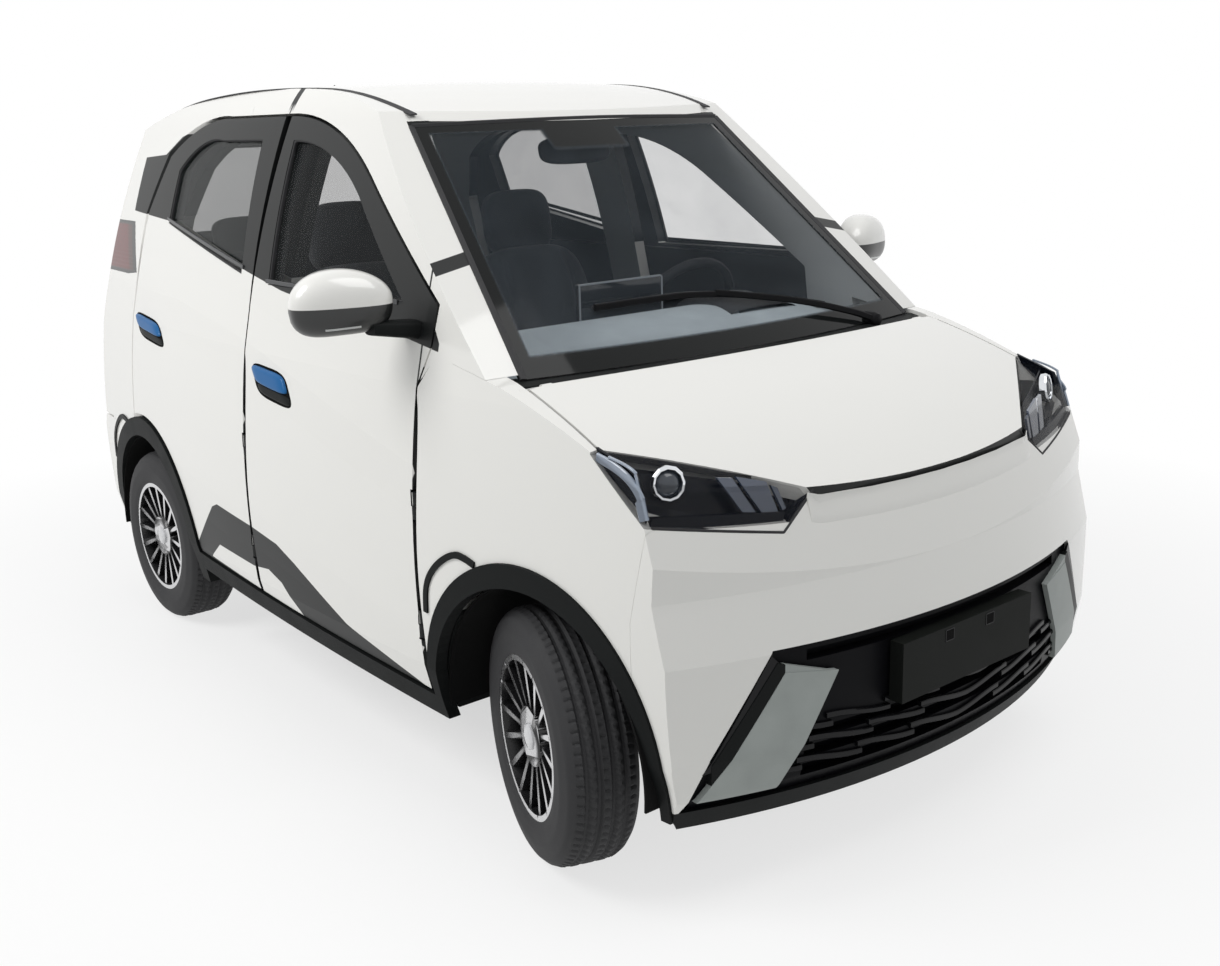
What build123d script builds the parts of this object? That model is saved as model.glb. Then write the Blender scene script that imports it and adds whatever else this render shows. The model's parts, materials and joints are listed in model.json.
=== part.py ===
"""Small four-door electric hatchback in separate body panels, doors, cabin pieces and running gear."""
from build123d import *
import os
from math import radians, sin, cos

# Whole car in millimetres: the front faces -Y, the left side is +X, the tyres stand on z = 0
WHEELBASE = 1950.0
AXLE_Y = WHEELBASE / 2
WHEEL_Z = 266.0
OUTSIDE = 300.0
FRONT_LIMIT = -1600.0
CLIP_BACK = -500.0
CLIP_LOW = 192.0
FAR = 3000.0

# Body sides: half section (x, z) at the widest station, turned about a far upright axis
SIDE_MAX = 748.0
SIDE_RADIUS = 14000.0
SIDE_Y = 50.0
SIDE_TURN = 15.0
SIDE_SECTION = [
    (694, 150), (738, 330), (SIDE_MAX, 600, 718, 950), (697, 1045),
    (630, 1300, 550, 1510), (520, 1563, 480, 1608), (480, 1700)]

# Roof and hood: (y, z) profiles turned about far axes that run along the car
CROWN_RADIUS = 10000.0
CROWN_TURN = 9.0
ROOF_TOP = 1611.0
ROOF_LINE = [
    (-430, 1474), (-330, 1512), (-128, 1571, 80, 1600), (440, ROOF_TOP, 800, 1600), (1047, 1572, 1290, 1520),
    (1500, 1463)]
HOOD_TOP = 1075.0
HOOD_LINE = [(-1560, 715), (-1406, 799), (-1142, 923, -880, 1006), (-500, HOOD_TOP)]

# Windscreen, nose, fascia and tail: (y, z) profiles turned about upright axes
SCREEN_LINE = [(-1072, 850), (-170, 1650)]
SCREEN_AXIS_Y = 2080.0
SCREEN_TURN = 36.0
SCREEN_SLANT = 0.66
FASCIA_RADIUS = 1700.0
FASCIA_TURN = 56.0
FASCIA_LINE = [
    (-1400, 120), (-1438, 192), (-1472, 262), (-1485, 340), (-1485, 530), (-1458, 645), (-1458, 1000)]
FASCIA_Y = -1485.0
NOSE_TILT = 18.0
NOSE_LINE = [(-1495, 530), (-1378, 895)]
NOSE_POINT = (-1458, 645)
TAIL_RADIUS = 2500.0
TAIL_TURN = 40.0
TAIL_LINE = [
    (1455, 120), (1485, 215), (1500, 320), (1500, 560), (1481, 600), (1471, 900), (1453, 1010),
    (1333, 1480), (1305, 1700)]
TAIL_Y = 1500.0

# Wall depths
DOOR_DEPTH = 60.0
FRAME_DEPTH = 42.0
FRAME_FROM = 1105.0
FLANGE_AT = 78.0
PILLAR_DEPTH = 115.0
PILLAR_FRONT = -724.0
SKIN = 28.0
GLASS_AT = 9.0
GLASS_THICK = 5.0
GAP = 6.0
SEAM = 0.6
RUN_FIT = 0.05
ROOF_THICK = 14.0
HOOD_THICK = 30.0
HATCH_DEPTH = 48.0
LAMP_DEPTH = 60.0

# Door outlines seen from the side, as (y, z); the seam between the doors widens above the belt
HINGE_FRONT_Y = -606.0
HINGE_REAR_Y = 193.0
HINGE_INSET = 12.0
HINGE_RELIEF = 17.0
HINGE_BARREL = 7.0
HINGE_PIN = 4.0
HINGE_NOTCH = 10.0
STRAP_REACH = 90.0
FRONT_STRAP = (-12.0, -3.0)
REAR_STRAP = (-5.0, -1.0)
STRAP_NOTCH = 14.0
HINGE_HEIGHTS = [(395.0, 455.0), (665.0, 725.0)]
SILL_FRONT = 267.0
SILL_MID = 298.0
SILL_REAR = 314.0
BELT_Z = 1062.0
FRONT_DOOR = [
    (HINGE_FRONT_Y, SILL_FRONT), (HINGE_FRONT_Y, 950), (-640, 1040), (-646, 1122), (-300, 1373),
    (-95, 1480, 170, 1525), (HINGE_REAR_Y - GAP, BELT_Z), (HINGE_REAR_Y - GAP, SILL_MID)]
REAR_DOOR = [
    (HINGE_REAR_Y, SILL_MID), (HINGE_REAR_Y, BELT_Z), (203, 1526), (540, 1528), (790, 1497, 940, 1430),
    (1030, 1262), (1048, 1000), (1052, 652), (704, 550, 586, SILL_REAR)]
FRONT_WINDOW = [(-520, 1120), (-262, 1340), (-80, 1435, 120, 1466), (100, 1116)]
REAR_WINDOW = [(262, 1132), (300, 1470), (560, 1472), (740, 1450, 838, 1390), (835, 1240)]
POCKET = [
    (-612, 250), (-612, 953), (-646, 1040), (-653, 1126), (-304, 1379), (-97, 1487, 171, 1532),
    (541, 1535), (802, 1509, 966, 1441), (1052, 1264), (1058, 1000), (1060, 640), (640, 310)]
FRONT_APERTURE = [
    (-540, 330), (-550, 900), (-565, 1090), (-262, 1322), (-90, 1418, 110, 1450), (128, 1100), (128, 330)]
REAR_APERTURE = [
    (262, 330), (262, 1100), (262, 1466), (540, 1468), (740, 1446, 850, 1386), (930, 1240), (960, 800),
    (700, 640, 560, 400)]
PILLAR_FOOT_Y = -720.0
BODY_SIDE = [
    (PILLAR_FOOT_Y, 225), (PILLAR_FOOT_Y, 900), (-980, 900), (-980, 1050), (-330, 1690), (1505, 1690),
    (1505, 605), (1300, 605), (1100, 240)]
FENDER_BACK = [(-740, 200), (-606, 200), (-606, 953), (-646, 1000), (-740, 1000)]

# Hood, lamp, grille and hatch outlines
HOOD_OUTLINE = [
    (632, -905), (652, -1150), (331, -1383), (0, -1409, -331, -1383), (-652, -1150), (-632, -905),
    (0, -958, 632, -905)]
HOOD_ROOM = [
    (638, -899), (658, -1153), (334, -1389), (0, -1415, -334, -1389), (-658, -1153), (-638, -899),
    (0, -952, 638, -899)]
HOOD_PIN = (-909.0, 974.0)
HOOD_LUG = (575.0, 600.0)
HOOD_PIN_END = 655.0
COWL_ROOM = [(638, -900), (612, -500), (-612, -500), (-638, -900), (0, -953, 638, -900)]
FENDER = [
    (-612, 262), (-612, 953), (-646, 1000), (PILLAR_FOOT_Y, 1000), (PILLAR_FOOT_Y, 1100), (-1200, 1100),
    (-1310, 770), (-1270, 600), (-1270, 262)]
LAMP_FRONT = [(326, 806), (326, 1000), (760, 1000), (760, 797), (660, 780), (414, 739)]
LAMP_SIDE = [(-1148, 1000), (-1148, 893), (-1296, 778), (-1600, 700), (-1600, 1000)]
BUMPER_SIDE = [(-1296, 776), (-1262, 600), (-1262, 100), (-1600, 100), (-1600, 830), (-1380, 830)]
GRILLE = [(-478, 536), (478, 536), (600, 345), (640, 236), (-640, 236), (-600, 345)]
BLADE = [(344, 471), (471, 512), (598, 334), (594, 290), (544, 278)]
SLOTS = [(500.0, 522.0), (340.0, 362.0), (302.0, 328.0), (262.0, 288.0)]
SLOT_HALF = 400.0
SLOT_DEPTH = 34.0
BLADE_PROUD = 3.0
PLATE_WIDE = 420.0
PLATE_TALL = 122.0
PLATE_LOW = 378.0
PLATE_Y = -1500.0
PLATE_THICK = 31.0
GRILLE_BACK = 44.0
BAR_AT = 10.0
SPOILER_THICK = 40.0
LIP_TOP = 236.0
LIP_BOTTOM = 192.0
ROOF_BACK = 1146.0
ROOF_OUTLINE = [
    (430, -420), (436, -280), (452, 400, 436, ROOF_BACK),
    (-436, ROOF_BACK), (-452, 400, -436, -280), (-430, -420)]
HATCH_PIN = (1163.0, 1541.0)
HATCH_LUG = (185.0, 212.0)
HATCH_BRACKET = (214.0, 226.0)
BRACKET_REACH = 43.0
BRACKET_HALF = 6.0
BRACKET_ROOM = 11.0
LID_PIN = 3.5
LID_BARREL = 7.0
# Left halves seen from behind, as (x, z): the hatch's skin, and its room between the body sides
HATCH_SKIN = 12.0
HATCH_STEP = 9.0
HATCH_EDGE = [(467, 1700), (475, 1490), (557, 1060), (564, 760), (518, 630)]
HATCH_ROOM = [(477, 1700), (485, 1492), (567, 1061), (573, 758), (524, 600)]
HATCH_WINDOW = [(-410, 1450), (410, 1450), (480, 1080), (-480, 1080)]
SPOILER = [(470, 1160), (-470, 1160), (-452, 1315), (0, 1387, 452, 1315)]
SPOILER_ROOM = [(477, ROOF_BACK), (-477, ROOF_BACK), (-477, 1415), (477, 1415)]
TAIL_LAMP = [(1066, 1084), (1150, 1235), (1515, 1235), (1515, 1076), (1150, 1076)]
TAIL_LAMP_IN = 572.0
REAR_BUMPER_TOP = 598.0
REAR_BUMPER_Y = 1150.0
REAR_BUMPER_LOW = 205.0
SCREEN_OUTLINE = [(-612, 985), (612, 985), (490, 1500), (-490, 1500)]

# Wheels and arches
ARCH_OPEN = 325.0
FRONT_CLAD = 352.0
FRONT_CLAD_Z = 290.0
REAR_CLAD = 382.0
SUB_HALF = 330.0
LINER_CLEAR = 60.0
WELL_FRONT_IN = SUB_HALF + LINER_CLEAR
WELL_REAR_IN = 520.0
CLAD_PROUD = 6.0
CLAD_DEPTH = 24.0
LINER_THICK = 5.0
TYRE_IN = 551.0
TYRE_OUT = 706.0
TYRE_R = WHEEL_Z
RIM_R = 172.0
SPOKES = 16
KINGPIN_X = 586.0
STEER_REST = 18.0
TYRE_BULGE = 2.0
TYRE_WALL = 48.0
SHOULDER_IN = 18.0
SHOULDER_DROP = 9.0
TREAD_IN = 30.0
RIM_FIT = 1.0
RIM_EDGE = 4.0
RIM_LIP = 14.0
RIM_WELL_OUT = 40.0
RIM_WELL = 20.0
HUB_IN = 626.0
HUB_OUT = 692.0
HUB_R = 62.0
HUB_BORE = 20.0
HUB_BORE_DEEP = 36.0
SPIGOT_LONG = 34.0
SPOKE_WIDE = 12.0
SPOKE_ROOT = 8.0
SPOKE_TIP = 34.0
CLAD_LOW = 210.0
LINER_OUT = 690.0
LINER_LOW = 240.0
LINK_ROOM = 50.0
LINK_ROOM_TOP = 400.0
ROCKER_ROOM = [(-720, 200), (720, 200), (720, 314), (-720, 257)]
ROCKER = [(-700, 206), (700, 258), (700, 312), (-700, 256)]

# Running gear
BATTERY_HALF = 470.0
BATTERY_LONG = 560.0
BATTERY_LOW = 160.0
AXLE_GAP = 2.0
AXLE_R = 32.0
MOTOR_DROP = 20.0
MOTOR_HALF = 170.0
MOTOR_R = 115.0
ARM_X = 440.0
ARM_WIDE = 25.0
ARM_FRONT = 590.0
ARM_FOOT = 70.0

SUB_LONG = 110.0
SUB_LOW = 175.0
SUB_TALL = 45.0
LOWER_ARM = 178.0
UPPER_ARM = 350.0
LINK_TALL = 22.0
LINK_WIDE = 26.0
ARM_ROOT = 20.0
PIN_R = 11.0
PIN_CLEAR = 2.0
TOWER_WIDE = 60.0
TOWER_TOP = 520.0
RAIL_WIDE = 45.0
RAIL_FRONT = -1380.0
RAIL_LOW = 380.0
RAIL_TALL = 60.0
KNUCKLE_HALF = 26.0
STUB_R = 30.0

# Cabin
DASH = [
    (-745, 700), (-745, 925), (-800, 950), (-640, 985), (-470, 962), (-432, 900), (-470, 770), (-600, 690)]
DASH_HALF = 570.0
SCREEN_WIDE = 270.0
SCREEN_TALL = 170.0
SCREEN_THICK = 14.0
SCREEN_Y = -462.0
SCREEN_LOW = 930.0
WHEEL_GRIP = 14.0
WHEEL_HUB = 55.0
WHEEL_HUB_TALL = 40.0
HUB_SINK = 30.0
WHEEL_SPOKES = [0.0, 180.0, 270.0]
SPOKE_FLAT = 34.0
WHEEL_SPOKE_THICK = 16.0
COLUMN_START = 55.0
COLUMN_LONG = 160.0
COLUMN_R = 34.0
COLUMN_SPIGOT = 12.0
COLUMN_TIP = 20.0
SEAT_IN = 75.0
SEAT_OUT = 525.0
SEAT_FRONT = -260.0
SEAT_BACK = 230.0
SEAT_TOP = 560.0
SEAT_REST = [(130, 540), (250, 540), (395, 1110), (300, 1120)]
HEAD_REST = [(318, 1100), (395, 1095), (425, 1290), (350, 1300)]
HEAD_HALF = 125.0
BENCH_HALF = 545.0
BENCH_FRONT = 600.0
BENCH_BACK = 1060.0
BENCH_TOP = 590.0
BENCH_REST = [(960, 560), (1060, 560), (1180, 1120), (1090, 1130)]
MIRROR_PLAN = [(738, -608), (800, -622), (880, -590), (925, -505), (908, -480), (748, -520)]
MIRROR_LOW = 1055.0
MIRROR_TOP = 1192.0
MIRROR_CORNER = 12.0
MIRROR_ROUND = 20.0
FOOT_PLAN = [(640, -590), (790, -590), (790, -540), (640, -540)]
FOOT_LOW = 1045.0
FOOT_TOP = 1090.0
FIREWALL_Y = -745.0
FIREWALL_THICK = 14.0
FIREWALL_TOP = 925.0
FLOOR_BACK = 1440.0
REAR_PANEL_TOP = 622.0
REAR_PANEL_HALF = 540.0
REAR_PANEL_THICK = 16.0
KICK_Y = 575.0
LOAD_Z = 398.0
COWL = [(-944, 935), (-946, 976), (-924, 981), (-880, 981), (-880, 935)]
COWL_TURN = 26.0
FLOOR_Z = 252.0
FLOOR_THICK = 18.0
CABIN_HALF = 660.0
WHEEL_X = 310.0
WHEEL_RIM = 178.0
COLUMN_TILT = 28.0
COLUMN_POINT = (WHEEL_X, -335.0, 955.0)


def path(points):
    """Edges through points: a pair ends a straight line, four numbers are an arc's middle and end."""
    edges = []
    here = points[0]
    for point in points[1:]:
        end = point[-2:]
        if len(point) == 2:
            edges.append(Line(here, end))
        else:
            edges.append(ThreePointArc(here, point[:2], end))
        here = end
    return edges


def moved(points, du, dv):
    """The same points, all shifted sideways by du and upwards by dv."""
    shift = (du, dv)
    return [tuple(value + shift[index % 2] for index, value in enumerate(point)) for point in points]


def full_width(half):
    """A whole outline from its left half."""
    return half + [(-x, z) for x, z in reversed(half)]


def region(plane, points):
    """A flat face inside a closed outline on a plane."""
    closing = points[0][-2:]
    return plane * make_face(path(points + [closing]) if points[-1][-2:] != closing else path(points))


def prism(plane, points, start=-FAR, end=FAR):
    """An outline pulled along its plane's normal from start to end."""
    shape = extrude(region(plane, points), end - start)
    return Pos(plane.z_dir * start) * shape


def band(plane, points, near, far):
    """The flat strip between one profile and the same profile shifted."""
    first = path(moved(points, *near))
    second = path(moved(points, *far))
    ends = [Line(first[0] @ 0, second[0] @ 0), Line(first[-1] @ 1, second[-1] @ 1)]
    return plane * make_face(first + second + ends)


def turned(face, axis, angle):
    """A face turned by an angle that lies evenly on both sides of where it was drawn."""
    return revolve(face.rotate(axis, -angle / 2), axis, angle)


def side(near, far):
    """A layer of the left body side between two depths under its skin."""
    axis = Axis((SIDE_MAX - SIDE_RADIUS, SIDE_Y, 0), (0, 0, 1))
    strip = band(Plane.XZ.offset(-SIDE_Y), SIDE_SECTION, (-near, 0), (-far, 0))
    return turned(strip, axis, SIDE_TURN)


def crown(line, top, near, far):
    """A crowned layer: a lengthways profile turned about a far axis that runs along the car."""
    strip = band(Plane.YZ, line, (0, -near), (0, -far))
    return turned(strip, Axis((0, 0, top - CROWN_RADIUS), (0, 1, 0)), CROWN_TURN)


def roof(near, far):
    return crown(ROOF_LINE, ROOF_TOP, near, far)


def bonnet(near, far):
    return crown(HOOD_LINE, HOOD_TOP, near, far)


def screen(near, far):
    strip = band(Plane.YZ, SCREEN_LINE, (near / SCREEN_SLANT, 0), (far / SCREEN_SLANT, 0))
    return turned(strip, Axis((0, SCREEN_AXIS_Y, 0), (0, 0, 1)), SCREEN_TURN)


def fascia(near, far):
    strip = band(Plane.YZ, FASCIA_LINE, (near, 0), (far, 0))
    return turned(strip, Axis((0, FASCIA_Y + FASCIA_RADIUS, 0), (0, 0, 1)), FASCIA_TURN)


def nose(near, far):
    tilt = radians(NOSE_TILT)
    base_y = NOSE_POINT[0] + FASCIA_RADIUS * cos(tilt)
    base_z = NOSE_POINT[1] + FASCIA_RADIUS * sin(tilt)
    strip = band(Plane.YZ, NOSE_LINE, (near, 0), (far, 0))
    return turned(strip, Axis((0, base_y, base_z), (0, -sin(tilt), cos(tilt))), FASCIA_TURN)


def tail(near, far):
    strip = band(Plane.YZ, TAIL_LINE, (-near, 0), (-far, 0))
    return turned(strip, Axis((0, TAIL_Y - TAIL_RADIUS, 0), (0, 0, 1)), TAIL_TURN)


def mirrored(shape):
    return mirror(shape, about=Plane.YZ)


def slab(x0, x1, y0, y1, z0, z1):
    return Pos((x0 + x1) / 2, (y0 + y1) / 2, (z0 + z1) / 2) * Box(x1 - x0, y1 - y0, z1 - z0)


def rod(start, end, radius):
    """A round bar between two points."""
    line = Vector(*end) - Vector(*start)
    plane = Plane(origin=start, z_dir=line)
    return extrude(plane * Circle(radius), line.length)


def disc(y, radius, x0, x1, z=WHEEL_Z):
    """A cylinder along X about an axle."""
    return rod((x0, y, z), (x1, y, z), radius)


def hinge_x(y):
    """How far out a left door's hinge line stands."""
    return SIDE_MAX - (y - SIDE_Y) ** 2 / (2 * SIDE_RADIUS) - HINGE_INSET


def hinge_post(y, radius, z0=0.0, z1=BELT_Z):
    """An upright cylinder on a left door's hinge line."""
    return rod((hinge_x(y), y, z0), (hinge_x(y), y, z1), radius)


def door(outline, window, y):
    """A left door leaf with its window cut through and two bored hinge barrels at its front edge."""
    leaf = side(0, DOOR_DEPTH) & prism(Plane.YZ, outline, 0)
    leaf -= prism(Plane.YZ, window, 0)
    leaf -= side(FRAME_DEPTH, DOOR_DEPTH + GAP) & slab(0, FAR, -FAR, FAR, FRAME_FROM, FAR)
    for z0, z1 in HINGE_HEIGHTS:
        middle = (z0 + z1) / 2
        leaf -= hinge_post(y, HINGE_NOTCH, z0 - GAP, z1 + GAP)
        leaf += hinge_post(y, HINGE_NOTCH, z0, middle)
        leaf -= hinge_post(y, HINGE_PIN + RUN_FIT, z0 - GAP, middle + GAP)
    return leaf


def hinge_straps(y, strap):
    """The pillar's half of a left door's hinges: pins, upper barrels and straps."""
    leaves = []
    for z0, z1 in HINGE_HEIGHTS:
        middle = (z0 + z1) / 2 + SEAM
        leaf = hinge_post(y, HINGE_PIN, z0, z1) + hinge_post(y, HINGE_BARREL, middle, z1)
        leaf += slab(hinge_x(y) - STRAP_REACH, hinge_x(y), y + strap[0], y + strap[1], middle, z1)
        leaves.append(leaf)
    return leaves


def hinge_rebate(y):
    """The rebate that a neighbour's edge leaves for a left door's hinge straps."""
    low = HINGE_HEIGHTS[0][0] - GAP
    high = HINGE_HEIGHTS[-1][1] + GAP
    return slab(hinge_x(y) - STRAP_REACH, hinge_x(y) + SEAM, y - STRAP_NOTCH, y + GAP, low, high)


def lid_rod(pin, span, radius):
    """A left cylinder along X on the hood's or the hatch's hinge line."""
    return rod((span[0], *pin), (span[1], *pin), radius)


def front_clip(inset):
    """Everything inside the front body skins, taken in by inset."""
    block = slab(-SIDE_MAX, SIDE_MAX, FRONT_LIMIT, CLIP_BACK, CLIP_LOW, HOOD_TOP)
    flank = side(-OUTSIDE, inset)
    block = block - fascia(-OUTSIDE, inset) - nose(-OUTSIDE, inset) - bonnet(-OUTSIDE, inset)
    return block - flank - mirrored(flank)


def both(shape):
    """A left piece and its mirror image, kept as separate solids of one node."""
    return Compound([*shape.solids(), *mirrored(shape).solids()])


def arch_ring(y, radius, z):
    """Black cladding around one left wheel opening."""
    ring = disc(y, radius, 0, FAR, z) - disc(y, ARCH_OPEN, 0, FAR)
    return side(-CLAD_PROUD, CLAD_DEPTH) & ring & slab(0, FAR, -FAR, FAR, CLAD_LOW, FAR)


def liner(y, inner):
    """A left wheel-house liner: an open half tube with a closed inner wall."""
    outer = disc(y, ARCH_OPEN, inner - LINER_THICK, LINER_OUT)
    hollow = disc(y, ARCH_OPEN - LINER_THICK, inner, LINER_OUT + GAP)
    return (outer - hollow) & slab(0, FAR, -FAR, FAR, LINER_LOW, FAR)


def tyre():
    """A tyre about the X axis, its tread on the outer ring."""
    wall_r = RIM_R + TYRE_WALL
    shoulder_r = TYRE_R - SHOULDER_DROP
    section = [
        (TYRE_IN, RIM_R), (TYRE_IN - TYRE_BULGE, wall_r, TYRE_IN + SHOULDER_IN, shoulder_r),
        (TYRE_IN + TREAD_IN, TYRE_R), (TYRE_OUT - TREAD_IN, TYRE_R),
        (TYRE_OUT - SHOULDER_IN, shoulder_r), (TYRE_OUT + TYRE_BULGE, wall_r, TYRE_OUT, RIM_R)]
    return revolve(region(Plane.XY, section), Axis.X)


def alloy():
    """A wheel about the X axis: barrel, hub and thin spokes."""
    left = TYRE_IN + RIM_EDGE
    right = TYRE_OUT - RIM_EDGE
    barrel = [
        (left, RIM_R - RIM_FIT), (right, RIM_R - RIM_FIT), (right, RIM_R - RIM_LIP),
        (TYRE_OUT - RIM_WELL_OUT, RIM_R - RIM_WELL), (TYRE_IN + RIM_WELL_OUT, RIM_R - RIM_WELL),
        (left, RIM_R - RIM_LIP)]
    wheel = revolve(region(Plane.XY, barrel), Axis.X)
    wheel += rod((HUB_IN, 0, 0), (HUB_OUT, 0, 0), HUB_R)
    root = HUB_R - SPOKE_ROOT
    tip = RIM_R - RIM_LIP - RIM_FIT
    blade_edge = [
        (HUB_IN + RIM_EDGE, root), (HUB_OUT - RIM_EDGE, root), (TYRE_OUT - SPOKE_ROOT, tip),
        (TYRE_OUT - SPOKE_TIP, tip)]
    blade = prism(Plane.XY, blade_edge, -SPOKE_WIDE / 2, SPOKE_WIDE / 2)
    for index in range(SPOKES):
        wheel += Rot(360.0 * index / SPOKES, 0, 0) * blade
    return wheel - rod((HUB_IN - RIM_FIT, 0, 0), (HUB_IN + HUB_BORE_DEEP, 0, 0), HUB_BORE)


def steered(shape):
    """A left front piece turned from straight ahead to its rest angle about the kingpin."""
    return shape.rotate(Axis((KINGPIN_X, -AXLE_Y, WHEEL_Z), (0, 0, 1)), -STEER_REST)


parts = {}
right_pin = Axis((-KINGPIN_X, -AXLE_Y, WHEEL_Z), (0, 0, 1))
wells = (disc(-AXLE_Y, ARCH_OPEN, WELL_FRONT_IN, FAR), disc(AXLE_Y, ARCH_OPEN, WELL_REAR_IN, FAR))
front_zone = disc(-AXLE_Y, FRONT_CLAD + SEAM, WELL_FRONT_IN, FAR, FRONT_CLAD_Z)
front_zone += disc(-AXLE_Y, ARCH_OPEN + SEAM, WELL_FRONT_IN, FAR)
rear_zone = disc(AXLE_Y, REAR_CLAD + SEAM, WELL_REAR_IN, FAR)

# Body sides with pillars, cant rails, sills and rear quarters
side_frame = side(0, PILLAR_DEPTH) & prism(Plane.YZ, BODY_SIDE, 0)
side_frame = side_frame - roof(-OUTSIDE, 0) - screen(-OUTSIDE, 0) - tail(-OUTSIDE, 0)
side_frame -= bonnet(-SEAM, OUTSIDE) & slab(0, FAR, -FAR, PILLAR_FOOT_Y, 0, FAR)
side_frame -= side(-OUTSIDE, FLANGE_AT) & prism(Plane.YZ, POCKET, 0)
side_frame -= prism(Plane.YZ, FRONT_APERTURE, 0)
side_frame -= prism(Plane.YZ, REAR_APERTURE, 0)
side_frame -= side(-OUTSIDE, SKIN + SEAM) & prism(Plane.YZ, FENDER_BACK, 0)
side_frame -= prism(Plane.XY, ROOF_OUTLINE) & roof(-OUTSIDE, ROOF_THICK + SEAM)
side_frame -= prism(Plane.XZ, SCREEN_OUTLINE) & screen(-OUTSIDE, GLASS_THICK + SEAM)
side_frame -= rear_zone
side_frame -= disc(-AXLE_Y, ARCH_OPEN + SEAM, WELL_FRONT_IN, FAR)
side_frame -= side(-OUTSIDE, CLAD_DEPTH + SEAM) & prism(Plane.YZ, ROCKER_ROOM, 0)
side_frame -= side(-OUTSIDE, SKIN + SEAM) & slab(0, FAR, REAR_BUMPER_Y - SEAM, FAR, 0, REAR_BUMPER_TOP + SEAM)
side_frame -= prism(Plane.XZ, full_width(HATCH_ROOM), -FAR, 0) & tail(-OUTSIDE, HATCH_DEPTH + GAP)
side_frame -= prism(Plane.XY, SPOILER_ROOM) & roof(-OUTSIDE, SPOILER_THICK + GAP)
side_frame -= hinge_post(HINGE_FRONT_Y, HINGE_RELIEF)
for strap in hinge_straps(HINGE_FRONT_Y, FRONT_STRAP) + hinge_straps(HINGE_REAR_Y, REAR_STRAP):
    side_frame += strap
parts["body_side_left"] = side_frame

# Side doors, their glass and the mirrors
front_leaf = door(FRONT_DOOR, FRONT_WINDOW, HINGE_FRONT_Y) - hinge_post(HINGE_REAR_Y, HINGE_RELIEF)
parts["front_door_left"] = front_leaf - hinge_rebate(HINGE_REAR_Y)
parts["rear_door_left"] = door(REAR_DOOR, REAR_WINDOW, HINGE_REAR_Y)
pane = side(GLASS_AT, GLASS_AT + GLASS_THICK)
parts["front_glass_left"] = pane & prism(Plane.YZ, FRONT_WINDOW, 0)
parts["rear_glass_left"] = pane & prism(Plane.YZ, REAR_WINDOW, 0)

# Roof, windscreen and cowl
roof_panel = (roof(0, ROOF_THICK) & prism(Plane.XY, ROOF_OUTLINE)) - screen(-OUTSIDE, 0)
bracket = slab(*HATCH_BRACKET, HATCH_PIN[0] - BRACKET_REACH, HATCH_PIN[0] + BRACKET_HALF,
               HATCH_PIN[1] - BRACKET_HALF, HATCH_PIN[1] + BRACKET_HALF)
bracket += lid_rod(HATCH_PIN, (HATCH_LUG[0], HATCH_BRACKET[1]), LID_PIN)
parts["roof_panel"] = roof_panel + bracket + mirrored(bracket)
windscreen = screen(0, GLASS_THICK) & prism(Plane.XZ, SCREEN_OUTLINE)
parts["windscreen"] = windscreen - roof(-OUTSIDE, ROOF_THICK + SEAM)

# Front end: one skin split into hood, fenders, lamps and bumper
clip = front_clip(0)
skin = clip - front_clip(SKIN)
hood_hole = prism(Plane.XY, HOOD_OUTLINE)
hood_room = prism(Plane.XY, HOOD_ROOM)
lamp_hole = prism(Plane.XZ, LAMP_FRONT) & prism(Plane.YZ, LAMP_SIDE, 0)
lamp_room = prism(Plane.XZ, moved(LAMP_FRONT, 0, -SEAM)) & prism(Plane.YZ, moved(LAMP_SIDE, SEAM, -SEAM), 0)
hood = bonnet(0, HOOD_THICK) & hood_hole & clip
lug = lid_rod(HOOD_PIN, HOOD_LUG, LID_BARREL)
bore = lid_rod(HOOD_PIN, (HOOD_LUG[0] - GAP, HOOD_LUG[1] + GAP), LID_PIN + RUN_FIT)
room = lid_rod(HOOD_PIN, (HOOD_LUG[1], HOOD_PIN_END), LID_BARREL)
parts["hood"] = (hood - room - mirrored(room)) + lug + mirrored(lug) - bore - mirrored(bore)
lamp = ((clip - front_clip(LAMP_DEPTH)) & lamp_hole) - hood_room
parts["headlamps"] = both(lamp)
skin = skin - hood_room - lamp_room - mirrored(lamp_room) - front_zone - mirrored(front_zone)
nose_half = prism(Plane.YZ, BUMPER_SIDE)
bumper = (skin & nose_half) - prism(Plane.XZ, GRILLE, 0, FAR) - slab(-FAR, FAR, -FAR, FAR, 0, LIP_BOTTOM)
low_front = slab(-FAR, FAR, -FAR, FAR, 0, LIP_TOP)
parts["front_bumper"] = bumper - low_front
parts["front_lip"] = bumper & slab(-FAR, FAR, -FAR, FAR, 0, LIP_TOP - SEAM)
fender = (skin - prism(Plane.YZ, moved(BUMPER_SIDE, SEAM, 0))) & prism(Plane.YZ, FENDER, 0)
fender -= side(SKIN, PILLAR_DEPTH * 2) & slab(0, FAR, PILLAR_FRONT, FAR, 0, FAR)
fender = fender - hinge_rebate(HINGE_FRONT_Y) - hinge_post(HINGE_FRONT_Y, HINGE_RELIEF)
fender -= prism(Plane.XY, COWL_ROOM)
parts["fender_left"] = fender + lid_rod(HOOD_PIN, (HOOD_LUG[0], HOOD_PIN_END), LID_PIN)

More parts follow.
